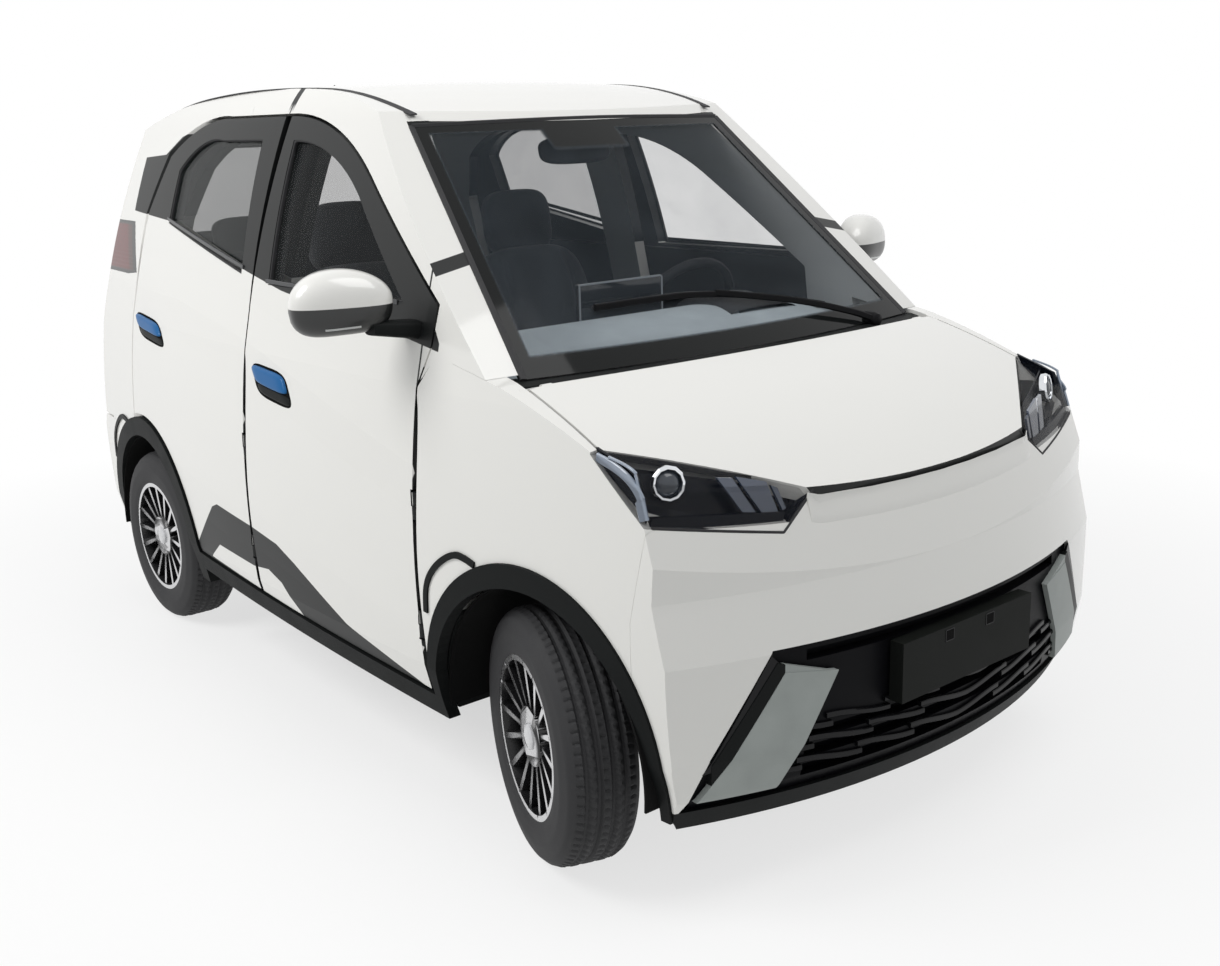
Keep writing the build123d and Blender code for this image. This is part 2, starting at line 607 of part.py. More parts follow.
# Black lower grille with its slots, blank number plate and side blades
opening = prism(Plane.XZ, GRILLE, 0, FAR)
grille = fascia(BAR_AT, GRILLE_BACK) & opening
for low, high in SLOTS:
    grille -= fascia(-1, SLOT_DEPTH) & slab(-SLOT_HALF, SLOT_HALF, -FAR, 0, low, high)
plate_room = slab(-PLATE_WIDE / 2, PLATE_WIDE / 2, PLATE_Y, PLATE_Y + PLATE_THICK,
                  PLATE_LOW, PLATE_LOW + PLATE_TALL)
flank = side(-OUTSIDE, SKIN + SEAM) + disc(-AXLE_Y, ARCH_OPEN + SEAM, WELL_FRONT_IN - LINER_THICK - SEAM, FAR)
parts["grille"] = grille - plate_room - flank - mirrored(flank)
parts["number_plate"] = plate_room
blade = fascia(-BLADE_PROUD, BAR_AT) & prism(Plane.XZ, BLADE, 0, FAR)
parts["grille_blades"] = both(blade)

# Tail: hatch with spoiler and glass, lamps and bumper
frame_edge = [(x - HATCH_STEP, z) for x, z in HATCH_EDGE]
hatch = tail(0, HATCH_SKIN) & prism(Plane.XZ, full_width(HATCH_EDGE), -FAR, 0)
hatch += tail(0, HATCH_DEPTH) & prism(Plane.XZ, full_width(frame_edge), -FAR, 0)
hatch -= roof(-OUTSIDE, 0)
hatch += roof(0, SPOILER_THICK) & prism(Plane.XY, SPOILER)
hatch -= prism(Plane.XZ, HATCH_WINDOW, -FAR, 0)
lug = lid_rod(HATCH_PIN, HATCH_LUG, LID_BARREL)
bore = lid_rod(HATCH_PIN, (HATCH_LUG[0] - GAP, HATCH_LUG[1] + GAP), LID_PIN + RUN_FIT)
room = lid_rod(HATCH_PIN, (HATCH_LUG[1], HATCH_BRACKET[1] + GAP), BRACKET_ROOM)
parts["hatch"] = (hatch - room - mirrored(room)) + lug + mirrored(lug) - bore - mirrored(bore)
parts["hatch_glass"] = tail(GLASS_AT, GLASS_AT + GLASS_THICK) & prism(Plane.XZ, HATCH_WINDOW, -FAR, 0)
back_skin = (tail(0, SKIN) - side(-OUTSIDE, 0)) & slab(0, FAR, 0, FAR, 0, FAR)
corner = (side(0, SKIN) - tail(-OUTSIDE, 0)) + back_skin
low_tail = slab(0, FAR, REAR_BUMPER_Y, TAIL_Y, REAR_BUMPER_LOW, REAR_BUMPER_TOP)
half_bumper = (corner & low_tail) - rear_zone
parts["rear_bumper"] = half_bumper + mirrored(half_bumper)
lamp = (side(0, LAMP_DEPTH) - tail(-OUTSIDE, 0)) & prism(Plane.YZ, TAIL_LAMP, TAIL_LAMP_IN)
parts["tail_lamps"] = both(lamp)
lamp_room = prism(Plane.YZ, moved(TAIL_LAMP, -SEAM, 0), TAIL_LAMP_IN - SEAM)
parts["body_side_left"] -= lamp_room & side(-OUTSIDE, LAMP_DEPTH + SEAM)

# Black cladding and wheel-house liners
rocker = side(-CLAD_PROUD, CLAD_DEPTH) & prism(Plane.YZ, ROCKER, 0)
rocker = rocker - disc(-AXLE_Y, ARCH_OPEN, 0, FAR) - disc(AXLE_Y, ARCH_OPEN, 0, FAR)
cladding = arch_ring(-AXLE_Y, FRONT_CLAD, FRONT_CLAD_Z) + arch_ring(AXLE_Y, REAR_CLAD, WHEEL_Z) + rocker
parts["cladding"] = both(cladding)
link_hole = slab(0, WELL_FRONT_IN + LINER_THICK, -AXLE_Y - LINK_ROOM, -AXLE_Y + LINK_ROOM, 0, LINK_ROOM_TOP)
front_liner = liner(-AXLE_Y, WELL_FRONT_IN) - link_hole
rear_liner = liner(AXLE_Y, WELL_REAR_IN) - disc(AXLE_Y, AXLE_R + GAP, 0, FAR)
parts["wheel_liners"] = both(front_liner + rear_liner)

# Floor, firewall and cowl
floor = slab(-CABIN_HALF, CABIN_HALF, FIREWALL_Y, KICK_Y, FLOOR_Z, FLOOR_Z + FLOOR_THICK)
floor += slab(-CABIN_HALF, CABIN_HALF, KICK_Y - FLOOR_THICK, KICK_Y, FLOOR_Z, LOAD_Z)
floor += slab(-CABIN_HALF, CABIN_HALF, KICK_Y - FLOOR_THICK, FLOOR_BACK, LOAD_Z - FLOOR_THICK, LOAD_Z)
rear_wells = disc(AXLE_Y, ARCH_OPEN + SEAM, WELL_REAR_IN - LINER_THICK - SEAM, FAR)
front_wells = disc(-AXLE_Y, ARCH_OPEN + SEAM, WELL_FRONT_IN - LINER_THICK - SEAM, FAR)
rear_wells += mirrored(rear_wells)
front_wells += mirrored(front_wells)
cabin_walls = side(-OUTSIDE, PILLAR_DEPTH)
cabin_walls += mirrored(cabin_walls)
floor = floor - rear_wells - front_wells - cabin_walls - tail(-OUTSIDE, SKIN + SEAM)
rear_panel = tail(SKIN + SEAM, SKIN + SEAM + REAR_PANEL_THICK)
floor += rear_panel & slab(-REAR_PANEL_HALF, REAR_PANEL_HALF, 0, FAR, LOAD_Z - FLOOR_THICK, REAR_PANEL_TOP)
parts["floor_pan"] = floor
wall = slab(-CABIN_HALF, CABIN_HALF, FIREWALL_Y - FIREWALL_THICK, FIREWALL_Y, FLOOR_Z, FIREWALL_TOP)
parts["firewall"] = wall - front_wells - cabin_walls
cowl_axis = Axis((0, SCREEN_AXIS_Y, 0), (0, 0, 1))
parts["cowl"] = turned(region(Plane.YZ, COWL), cowl_axis, COWL_TURN) & prism(Plane.XY, COWL_ROOM)

# Battery, motor and rear axle
parts["battery_pack"] = slab(-BATTERY_HALF, BATTERY_HALF, -BATTERY_LONG, BATTERY_LONG, BATTERY_LOW, FLOOR_Z)
axle = disc(AXLE_Y, AXLE_R, AXLE_GAP - HUB_IN, HUB_IN - AXLE_GAP)
axle += disc(AXLE_Y, HUB_BORE - RUN_FIT, -HUB_IN - SPIGOT_LONG, HUB_IN + SPIGOT_LONG)
axle += disc(AXLE_Y, MOTOR_R, -MOTOR_HALF, MOTOR_HALF, WHEEL_Z - MOTOR_DROP)
arm = slab(ARM_X - ARM_WIDE, ARM_X + ARM_WIDE, ARM_FRONT, AXLE_Y, WHEEL_Z - ARM_WIDE, WHEEL_Z + ARM_WIDE)
arm += slab(ARM_X - ARM_WIDE, ARM_X + ARM_WIDE, ARM_FRONT, ARM_FRONT + ARM_FOOT,
            WHEEL_Z, LOAD_Z - FLOOR_THICK)
parts["rear_axle"] = axle + arm + mirrored(arm)

# Wheels
rolling = tyre()
rim = alloy()
place_rear = Pos(0, AXLE_Y, WHEEL_Z)
place_front = Pos(0, -AXLE_Y, WHEEL_Z)
parts["tyre_rear_left"] = place_rear * rolling
parts["wheel_rear_left"] = place_rear * rim
parts["tyre_front_left"] = steered(place_front * rolling)
parts["wheel_front_left"] = steered(place_front * rim)

# Front suspension: subframe, arms above and below each kingpin, spring legs; knuckles turn between the arms
subframe = slab(-SUB_HALF, SUB_HALF, -AXLE_Y - SUB_LONG, -AXLE_Y + SUB_LONG, SUB_LOW, SUB_LOW + SUB_TALL)
for level in (LOWER_ARM, UPPER_ARM):
    link = slab(SUB_HALF - ARM_ROOT, KINGPIN_X, -AXLE_Y - LINK_WIDE, -AXLE_Y + LINK_WIDE,
                level, level + LINK_TALL)
    link += Pos(KINGPIN_X, -AXLE_Y, level + LINK_TALL / 2) * Cylinder(LINK_WIDE, LINK_TALL)
    link -= Pos(KINGPIN_X, -AXLE_Y, level + LINK_TALL / 2) * Cylinder(PIN_R + RUN_FIT, LINK_TALL + GAP)
    subframe += link + mirrored(link)
tower = slab(SUB_HALF - TOWER_WIDE, SUB_HALF, -AXLE_Y - SUB_LONG, -AXLE_Y + SUB_LONG, SUB_LOW, TOWER_TOP)
rail = slab(SUB_HALF - RAIL_WIDE, SUB_HALF, RAIL_FRONT, FIREWALL_Y - FIREWALL_THICK,
            RAIL_LOW, RAIL_LOW + RAIL_TALL)
subframe += tower + mirrored(tower) + rail + mirrored(rail)
parts["front_suspension"] = subframe
knuckle = slab(KINGPIN_X - KNUCKLE_HALF, KINGPIN_X + KNUCKLE_HALF,
               -AXLE_Y - KNUCKLE_HALF, -AXLE_Y + KNUCKLE_HALF,
               LOWER_ARM + LINK_TALL + PIN_CLEAR, UPPER_ARM - PIN_CLEAR)
knuckle += rod((KINGPIN_X, -AXLE_Y, LOWER_ARM - PIN_CLEAR),
               (KINGPIN_X, -AXLE_Y, UPPER_ARM + LINK_TALL + PIN_CLEAR), PIN_R)
knuckle += disc(-AXLE_Y, STUB_R, KINGPIN_X, HUB_IN - PIN_CLEAR)
knuckle += disc(-AXLE_Y, HUB_BORE - RUN_FIT, KINGPIN_X, HUB_IN + SPIGOT_LONG)
parts["knuckle_left"] = steered(knuckle)

# Cabin furniture
dash = prism(Plane.YZ, DASH, -DASH_HALF, DASH_HALF)
parts["dashboard"] = dash
tablet = slab(-SCREEN_WIDE / 2, SCREEN_WIDE / 2, SCREEN_Y, SCREEN_Y + SCREEN_THICK,
              SCREEN_LOW, SCREEN_LOW + SCREEN_TALL)
parts["centre_screen"] = tablet - dash
column_tilt = radians(COLUMN_TILT)
column_way = Vector(0, -cos(column_tilt), -sin(column_tilt))
column_top = Vector(*COLUMN_POINT)
wheel_plane = Plane(origin=COLUMN_POINT, x_dir=(1, 0, 0), z_dir=column_way)
hand_wheel = wheel_plane * Torus(WHEEL_RIM, WHEEL_GRIP)
hand_wheel += wheel_plane * Pos(0, 0, HUB_SINK) * Cylinder(WHEEL_HUB, WHEEL_HUB_TALL)
for turn in WHEEL_SPOKES:
    spoke = Pos(WHEEL_RIM / 2, 0, HUB_SINK / 2) * Box(WHEEL_RIM, SPOKE_FLAT, WHEEL_SPOKE_THICK)
    hand_wheel += wheel_plane * Rot(0, 0, turn) * spoke
start = column_top + column_way * COLUMN_START
tip = column_top + column_way * COLUMN_TIP
parts["steering_wheel"] = hand_wheel - rod(tuple(tip), tuple(start), COLUMN_SPIGOT + RUN_FIT)
column = rod(tuple(start), tuple(start + column_way * COLUMN_LONG), COLUMN_R)
column += rod(tuple(tip + column_way * PIN_CLEAR), tuple(start), COLUMN_SPIGOT)
parts["steering_column"] = column - dash
seat = slab(SEAT_IN, SEAT_OUT, SEAT_FRONT, SEAT_BACK, FLOOR_Z + FLOOR_THICK, SEAT_TOP)
back_rest = prism(Plane.YZ, SEAT_REST, SEAT_IN, SEAT_OUT)
seat_middle = (SEAT_IN + SEAT_OUT) / 2
head_rest = prism(Plane.YZ, HEAD_REST, seat_middle - HEAD_HALF, seat_middle + HEAD_HALF)
parts["front_seats"] = both(seat + back_rest + head_rest)
bench = slab(-BENCH_HALF, BENCH_HALF, BENCH_FRONT, BENCH_BACK, LOAD_Z, BENCH_TOP)
bench += prism(Plane.YZ, BENCH_REST, -BENCH_HALF, BENCH_HALF)
walls = side(-OUTSIDE, PILLAR_DEPTH + GAP)
bench = bench - rear_wells - walls - mirrored(walls)
parts["rear_seat"] = bench

# Mirrors ride the front doors
housing = prism(Plane.XY, MIRROR_PLAN, MIRROR_LOW, MIRROR_TOP)
housing = fillet(housing.edges().filter_by(Axis.Z), MIRROR_CORNER)
housing = fillet(housing.faces().sort_by(Axis.Z)[-1].edges(), MIRROR_ROUND)
housing = fillet(housing.faces().sort_by(Axis.Z)[0].edges(), MIRROR_CORNER)
foot = prism(Plane.XY, FOOT_PLAN, FOOT_LOW, FOOT_TOP)
parts["mirror_left"] = (housing + foot) - side(0, PILLAR_DEPTH)

for name in list(parts):
    if name.endswith("_left"):
        parts[name[:-4] + "right"] = mirrored(parts[name])
parts["tyre_front_right"] = parts["tyre_front_right"].rotate(right_pin, -2 * STEER_REST)
parts["wheel_front_right"] = parts["wheel_front_right"].rotate(right_pin, -2 * STEER_REST)
parts["knuckle_right"] = parts["knuckle_right"].rotate(right_pin, -2 * STEER_REST)

os.makedirs("parts", exist_ok=True)
for name, shape in parts.items():
    export_step(shape, "parts/" + name + ".step")
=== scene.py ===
"""Looks of the small electric hatchback: paint, glass, lamps, wheels, cabin and trim on its frame."""

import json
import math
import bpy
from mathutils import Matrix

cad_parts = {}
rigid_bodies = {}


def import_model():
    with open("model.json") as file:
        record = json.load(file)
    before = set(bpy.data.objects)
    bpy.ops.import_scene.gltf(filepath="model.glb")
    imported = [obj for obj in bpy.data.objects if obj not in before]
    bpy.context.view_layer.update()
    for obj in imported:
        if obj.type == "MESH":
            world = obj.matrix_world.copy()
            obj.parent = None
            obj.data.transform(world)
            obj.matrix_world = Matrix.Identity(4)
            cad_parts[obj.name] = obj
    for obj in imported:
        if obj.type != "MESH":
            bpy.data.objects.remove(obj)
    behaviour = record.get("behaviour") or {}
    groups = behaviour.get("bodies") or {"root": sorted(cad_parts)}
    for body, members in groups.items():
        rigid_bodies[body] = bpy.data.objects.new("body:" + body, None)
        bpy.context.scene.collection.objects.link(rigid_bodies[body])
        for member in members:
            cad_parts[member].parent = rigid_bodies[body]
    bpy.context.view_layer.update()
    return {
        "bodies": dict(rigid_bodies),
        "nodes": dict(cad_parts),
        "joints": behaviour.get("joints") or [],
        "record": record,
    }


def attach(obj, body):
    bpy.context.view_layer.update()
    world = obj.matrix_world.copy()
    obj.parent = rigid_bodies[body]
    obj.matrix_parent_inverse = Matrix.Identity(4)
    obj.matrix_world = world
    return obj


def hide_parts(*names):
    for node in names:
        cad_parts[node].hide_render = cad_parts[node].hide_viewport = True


bl_info = {
    "name": "Electric Hatchback Looks",
    "version": (1, 0, 0),
    "blender": (4, 5, 0),
    "location": "View3D > Sidebar > Hatchback",
    "description": "Dresses the packed car frame with paint, glass, lamps, wheels, seats and trim",
    "category": "Object",
}

import bmesh
import bpy
import numpy as np
from mathutils import Matrix, Vector

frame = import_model()
BODY_OF = {node: body for body, nodes in frame["record"]["behaviour"]["bodies"].items() for node in nodes}
HANDS = (("left", 1.0), ("right", -1.0))
MM = 0.001

# Camera fitted to the photograph, whose frame is 1220 by 966 pixels
PHOTO_WIDE = 1220.0
SENSOR = 36.0
CAMERA_PLACE = (-2.16423, -2.97559, 1.47685)
CAMERA_TURN = math.radians(-37.422)
CAMERA_TILT = math.radians(13.351)
CAMERA_ROLL = math.radians(-2.066)
FOCAL_PIXELS = 1332.34
SHIFT_PIXELS = (60.0, -40.0)

# Studio: rays that see the white surroundings, and softboxes as name, place, size and share of the key light
SEEN_RAYS = ("Camera", "Glossy", "Transmission")
LIGHT_TARGET = (0.0, 0.0, 0.7)
FLOOR_NEAR = 1.6
FLOOR_FADE = 3.4
FLOOR_WHITE = 0.55
SOFTBOXES = (
    ("key_softbox", (-4.2, 1.0, 4.4), 2.6, 1.0),
    ("screen_softbox", (0.2, -2.3, 4.2), 2.6, 0.38),
)

# Body skins in millimetres, as the solids have them: a pair ends a line, four numbers an arc
SIDE_MAX = 748.0
SIDE_RADIUS = 14000.0
SIDE_Y = 50.0
SIDE_SECTION = [
    (694, 150), (738, 330), (SIDE_MAX, 600, 718, 950), (697, 1045),
    (630, 1300, 550, 1510), (520, 1563, 480, 1608), (480, 1700)]
CROWN_RADIUS = 10000.0
ROOF_TOP = 1611.0
ROOF_LINE = [
    (-430, 1474), (-330, 1512), (-128, 1571, 80, 1600), (440, ROOF_TOP, 800, 1600),
    (1047, 1572, 1290, 1520),
    (1500, 1463)]
HOOD_TOP = 1075.0
HOOD_LINE = [(-1560, 715), (-1406, 799), (-1142, 923, -880, 1006), (-500, HOOD_TOP)]
SCREEN_LINE = [(-1072, 850), (-170, 1650)]
SCREEN_AXIS_Y = 2080.0
FASCIA_RADIUS = 1700.0
FASCIA_Y = -1485.0
FASCIA_LINE = [
    (-1400, 120), (-1438, 192), (-1472, 262), (-1485, 340), (-1485, 530), (-1458, 645), (-1458, 1000)]
NOSE_TILT = math.radians(18.0)
NOSE_LINE = [(-1495, 530), (-1378, 895)]
NOSE_POINT = (-1458.0, 645.0)
NOSE_STEPS = 8
SLOPE_STEP = 0.5
SKIN_ANGLE = math.radians(8.0)
TAIL_RADIUS = 2500.0
TAIL_Y = 1500.0
TAIL_LINE = [
    (1455, 120), (1485, 215), (1500, 320), (1500, 560), (1481, 600), (1471, 900), (1453, 1010),
    (1333, 1480), (1305, 1700)]

# Black window band, belt and sill graphic on the sides, as (y, z)
BAND_TOP = [
    (-668, 1047), (-585, 1165), (-459, 1265), (-281, 1393), (-159, 1454), (-10, 1503), (136, 1523),
    (282, 1527),
    (507, 1529), (716, 1520), (890, 1485), (991, 1435), (1180, 1427)]
BELT = [(-668, 1030), (-560, 1046), (26, 1107), (226, 1140), (848, 1248), (1180, 1267)]
BAND_FRONT = -668.0
BAND_BACK = 1176.0
ARROW = [(-582, 268), (-280, 336), (-47, 433), (43, 464), (182, 480), (406, 495), (443, 481), (610, 329)]
INSERT_TOP = [(-42, 290), (44, 358), (112, 378), (203, 366), (426, 372), (503, 320)]
INSERT_LOW = [(-42, 288), (503, 318)]
SHOULDER = [(-700, 760), (101, 952), (305, 987), (678, 1035), (1232, 1051)]
LOW_CREASE = [(-600, 400), (127, 520), (349, 515), (684, 560)]

# Half width of the studio floor in metres
FLOOR_HALF = 60.0

# Paint and trim: widths of edges and gaps in metres, shines, and tones of the linings; the door gaps and the
# wheel wells get black painted shade
EDGE = 0.001
SHADED_DOOR_GAPS = (-609.0, 190.0)
GAP_SHADE_HALF = 0.0029
GAP_SHADE_REACH = 0.014
GAP_SHADE_FACING = 0.85
ARCH_SHADE_RADIUS = 0.333
PAINT_SHINE = 0.2
TRIM_SHINE = 0.06
PILLAR_TRIM = (0.36, 0.37, 0.37)
DASH_TONE = (0.40, 0.45, 0.48)
DASH_PAD = [
    (-796, 955), (-720, 988), (-640, 1012), (-560, 1026), (-498, 1022), (-474, 1000), (-470, 962),
    (-580, 945), (-740, 940)]
DASH_PAD_HALF = 556.0
DASH_PAD_FOOT = 940.0
DOOR_TRIM = (0.035, 0.036, 0.04)
CREASE_REACH = 0.10
RUBBER_BLACK = (0.010, 0.010, 0.011)
# Black of the lamp seals, and of the strips of painted shade in the hood's gaps
SEAL_BLACK = (0.008, 0.008, 0.009)

# Windscreen's printed border, and tail lamp's front as (y, z, slope) with its frame, in metres
FRIT_REACH = 0.612
FRIT_FROM = 0.985
FRIT_LEAN = 0.237
FRIT_SIDE = 0.042
FRIT_FOOT = 1.022
FRIT_HEAD = 1.470
FRIT_BLUR = 0.006
SENSOR_X = 0.045
SENSOR_HALF = 0.115
SENSOR_LOW = 1.425
SENSOR_BLUR = 0.012
TAIL_FRONT = (1.066, 1.084, 0.556)
TAIL_FRAME = (0.034, 1.088, 1.224)
TAIL_AMBER = 0.075

# Wheels
AXLE_Y = 975.0
WHEEL_Z = 266.0
TYRE_IN = 551.0
TYRE_OUT = 706.0
TYRE_R = 266.0
RIM_R = 172.0
KINGPIN_X = 586.0
STEER_REST = math.radians(18.0)
HUB_OUT = 692.0
GROOVES = (-39.0, -14.0, 14.0, 39.0)
GROOVE_HALF = 5.0
HUB_DOME = [(-1, 0.5), (-1, 28), (4, 27), (7, 23), (8.5, 12), (9, 0.5)]

# Mirrors of the left hand
MIRROR_INNER = (722.0, -564.0, 1138.0)
MIRROR_OUTER = (928.0, -494.0, 1130.0)
MIRROR_AHEAD = 58.0
MIRROR_BEHIND = 40.0
MIRROR_HIGH = 74.0
MIRROR_DEEP = 64.0
MIRROR_SPLIT = 1132.0
MIRROR_FOOT = (672.0, -566.0, 1068.0)

# Headlamps of the left hand: (x, z) on the nose, (y, z) on the side, turned pieces as (along, radius)
LAMP_BOWL = [(395, 752), (664, 786), (654, 878), (348, 800)]
# Pale blue light guides: partly the guide's own colour, partly painted reflection along the lamp's outer edge
LAMP_GUIDE = [(-1160, 889), (-1215, 876), (-1262, 850), (-1300, 795)]
LAMP_GUIDE_LINE = [(-1190, 894), (-1245, 884), (-1290, 858), (-1318, 806)]
LAMP_FINS = [
    [(480, 784), (454, 780), (484, 845), (513, 849)],
    [(442, 778), (408, 773), (418, 830), (476, 846)],
    [(398, 776), (390, 778), (398, 816), (410, 822)]]
LAMP_SILL = [(412, 740), (660, 780), (650, 797), (396, 774)]
LAMP_WALL = [(340, 799), (416, 743), (656, 783)]
LAMP_BACK = [(-1170, 872), (-1304, 784), (-1326, 850), (-1150, 905)]
LAMP_EYE = (594.0, 845.0)
LAMP_EYE_DEEP = 34.0
LAMP_EYE_WAY = (0.35, -0.92, 0.16)
LAMP_RING = [(0, 33), (12, 34), (16, 31), (15, 27), (4, 25), (0, 25)]
LAMP_DOME = [(2, 0.5), (2, 25), (8, 23), (14, 17), (17, 9), (18, 0.5)]
LAMP_EDGE = [(330, 804), (414, 740), (660, 781)]

# Grille slats as (height, half length), plate and side trim
SLAT_ROWS = [(292.0, 560.0), (334.0, 540.0), (372.0, 500.0)]
SLAT_LONG = 140.0
SLAT_WAVE = 9.0
BLADE_FACE = [(461, 256), (617, 258), (456, 491), (341, 473)]
BLADE_EDGE = [(258, 617), (491, 456)]
BLADE_WEDGE = [(585, 322), (612, 316), (482, 528), (452, 494)]
HOOD_EDGE = ([0.0, 100.0, 200.0, 331.0, 352.0], [-1409.0, -1406.5, -1399.5, -1383.0, -1370.0])
HOOD_LIP_HALF = 350.0
HOOD_LIP_NOSE = [(-66.0, -2.0), (-62.0, 0.2), (-44.0, 2.0), (-26.0, 4.5), (-15.0, 5.5)]
HOOD_LIP_BACK = [(-11.0, -8.0), (-9.5, -8.5), (-9.0, -11.0), (-7.5, -22.0), (-7.0, -60.0)]
PLATE_Y = -1500.0
PLATE_SLOTS = (-66.0, 66.0)
SLOT_HALF = 13.0
SLOT_LOW = 470.0
SLOT_HIGH = 493.0
# Hood's gap lines as (x, y): black strips sunk in these gaps are painted shade
HOOD_FRONT_GAP_SHADE = [(640, -1160), (331, -1386), (0, -1412), (-331, -1386), (-640, -1160)]
HOOD_SIDE_GAP_SHADE = [(655, -1150), (635, -905)]
HANDLES = {
    "front": ([(91, 851), (-78, 834)], [(149, 918), (-31, 907)]),
    "rear": ([(959, 909), (758, 892)], [(1031, 969), (819, 953)])}
WINDOWS = {
    "front": [(-520, 1120), (-262, 1340), (-80, 1435, 120, 1466), (100, 1116)],
    "rear": [(262, 1132), (300, 1470), (560, 1472), (740, 1450, 838, 1390), (835, 1240)]}
HANDLE_SPLIT = 0.36
# The black patch of painted shade round each handle reaches past its corners by these (y, z) steps
HANDLE_SHADE_GROW = [(12.0, -8.0), (-12.0, -8.0), (-6.0, 6.0), (6.0, 6.0)]
BELT_STRIPS = {"front": [(112, 1125), (-500, 1119)], "rear": [(846, 1253), (254, 1150)]}
ARCH_LOOP = [(-640, 464), (-646, 530), (-686, 582), (-752, 623), (-794, 620), (-822, 612)]
ARCH_LOOP_SHIFTS = {"front": 0.0, "rear": 1950.0}
ARCH_LOOP_WIDE = 14.0
DITCH = [(470, -290), (478, -200), (482, 0), (484, 200), (482, 500), (476, 1120)]
DITCH_WIDE = ([-290.0, 100.0, 600.0, 1120.0], [20.0, 16.0, 10.0, 7.0])
AERIAL_Y = 900.0
AERIAL_WAY = (0.0, 0.42, 0.9)
AERIAL_STUB = [(-4, 0.5), (-4, 16), (2, 15), (5, 9), (14, 4), (40, 3), (42, 0.5)]
SCREEN_EDGE = [(604, 985), (486, 1488)]
SCREEN_HEAD = [(-486, 1488), (0, 1496), (486, 1488)]
WIPER_BLADE = [(300, 1040), (130, 1076), (-71, 1100), (-217, 1100), (-353, 1097)]
WIPER_ARM = [(440, 990), (389, 1012), (200, 1062), (-20, 1097)]
WIPER_KNOB = [(-14, 0.5), (-14, 20), (14, 19), (22, 15), (25, 8), (26, 0.5)]

# Tail pieces as (x, z)
GARNISH = [(-545, 1095), (545, 1095), (528, 1170), (-528, 1170)]
PLATE_RECESS = [(-280, 720), (280, 720), (300, 905), (-300, 905)]
REAR_PLATE = [(-220, 745), (220, 745), (220, 868), (-220, 868)]
HATCH_HANDLE = [(-170, 888), (170, 888), (160, 916), (-160, 916)]
REAR_WINDOW = [(-410, 1450), (410, 1450), (480, 1080), (-480, 1080), (-410, 1450)]
STOP_LAMP = [(-110, 1472), (110, 1472)]
REAR_WIPER_BLADE = [(-20, 1185), (300, 1215)]
REAR_WIPER_ARM = [(0, 1150), (150, 1200)]
REAR_WIPER_WAY = (0, 0.97, 0.24)
REAR_WIPER_KNOB = [(-6, 0.5), (-6, 19), (8, 18), (13, 12), (14, 0.5)]
VALANCE = [(-560, 222), (560, 222), (600, 345), (-600, 345)]
REFLECTOR = [(380, 400), (560, 412)]

# Cabin: cushions as centre, half size, tilt, squareness and crown, with the channels sewn into them
SEAT_X = 300.0
SEAT_RIBS = [("x", place, 9.0, 9.0) for place in (-120.0, 120.0)]
SEAT_ROWS = [("z", place, 6.0, 8.0) for place in (-110.0, 0.0, 110.0)]
BACK_ROWS = [("z", place, 6.0, 8.0) for place in (-170.0, -40.0, 90.0)]
BENCH_RIBS = [("x", place, 8.0, 9.0) for place in (-260.0, 0.0, 260.0)]
SEAT_BASE = ((SEAT_X, -20.0, 490.0), (215.0, 85.0, 235.0), -96, 0.45, 14.0)
SEAT_BACK = ((SEAT_X, 268.0, 830.0), (205.0, 62.0, 300.0), -15, 0.5, 12.0)
SEAT_HEAD = ((SEAT_X, 372.0, 1195.0), (118.0, 40.0, 98.0), -9, 0.55, 8.0)
SEAT_FRAME = ((SEAT_X, -10.0, 345.0), (190.0, 72.0, 215.0), -90, 0.3, 0.0)
BENCH_BASE = ((0.0, 815.0, 500.0), (425.0, 88.0, 210.0), -94, 0.4, 12.0)
BENCH_BACK = ((0.0, 1072.0, 845.0), (470.0, 42.0, 275.0), -12, 0.4, 10.0)
BENCH_HEAD = ((250.0, 1145.0, 1165.0), (105.0, 32.0, 60.0), -10, 0.55, 6.0)
INNER_MIRROR = ((-20.0, -318.0, 1418.0), (112.0, 13.0, 34.0), -12, 0.6, 0.0)
TABLET_Y = -463.0
TABLET_RIM = [(-135, 930), (135, 930), (135, 1100), (-135, 1100), (-135, 930)]
POD_PLACE = (310.0, -500.0, 968.0)
POD_HALF = (165.0, 140.0)
POD_TALL = (72.0, 50.0)
POD_LONG = 150.0
POD_BULGE = 24.0


def dense(points, steps=24):
    """Points along lines and arcs; an arc's points turn evenly about the circle through its three points."""
    rows = [np.array([points[0]], float)]
    here = np.array(points[0][-2:], float)
    for point in points[1:]:
        end = np.array(point[-2:], float)
        if len(point) == 4:
            a, b, c = (complex(*p) for p in (here, point[:2], end))
            w = (c - a) / (b - a)
            centre = (b - a) * (w - abs(w) ** 2) / (2j * w.imag) + a
            sweep = np.angle((c - centre) / (a - centre))
            ring = centre + (a - centre) * np.exp(1j * sweep * np.linspace(0, 1, steps)[1:])
            rows.append(np.stack([ring.real, ring.imag], 1))
        else:
            rows.append(end[None])
        here = end
    return np.concatenate(rows)


def height_at(points, along):
    """The second value of a profile where its first is given."""
    line = dense(points)
    return np.interp(along, line[:, 0], line[:, 1])


def reach_at(points, height):
    """The first value of a profile where its second is given."""
    line = dense(points)
    return np.interp(height, line[:, 1], line[:, 0])


def side_skin(y, z, sign=1.0, proud=0.0):
    """Body side: the section's half width at z, turned about a far upright axis, so x falls off with y."""
    section = reach_at(SIDE_SECTION, z) + proud
    x = SIDE_MAX - SIDE_RADIUS + np.sqrt((section - SIDE_MAX + SIDE_RADIUS) ** 2 - (y - SIDE_Y) ** 2)
    return np.stack(np.broadcast_arrays(sign * x, y, z), -1)


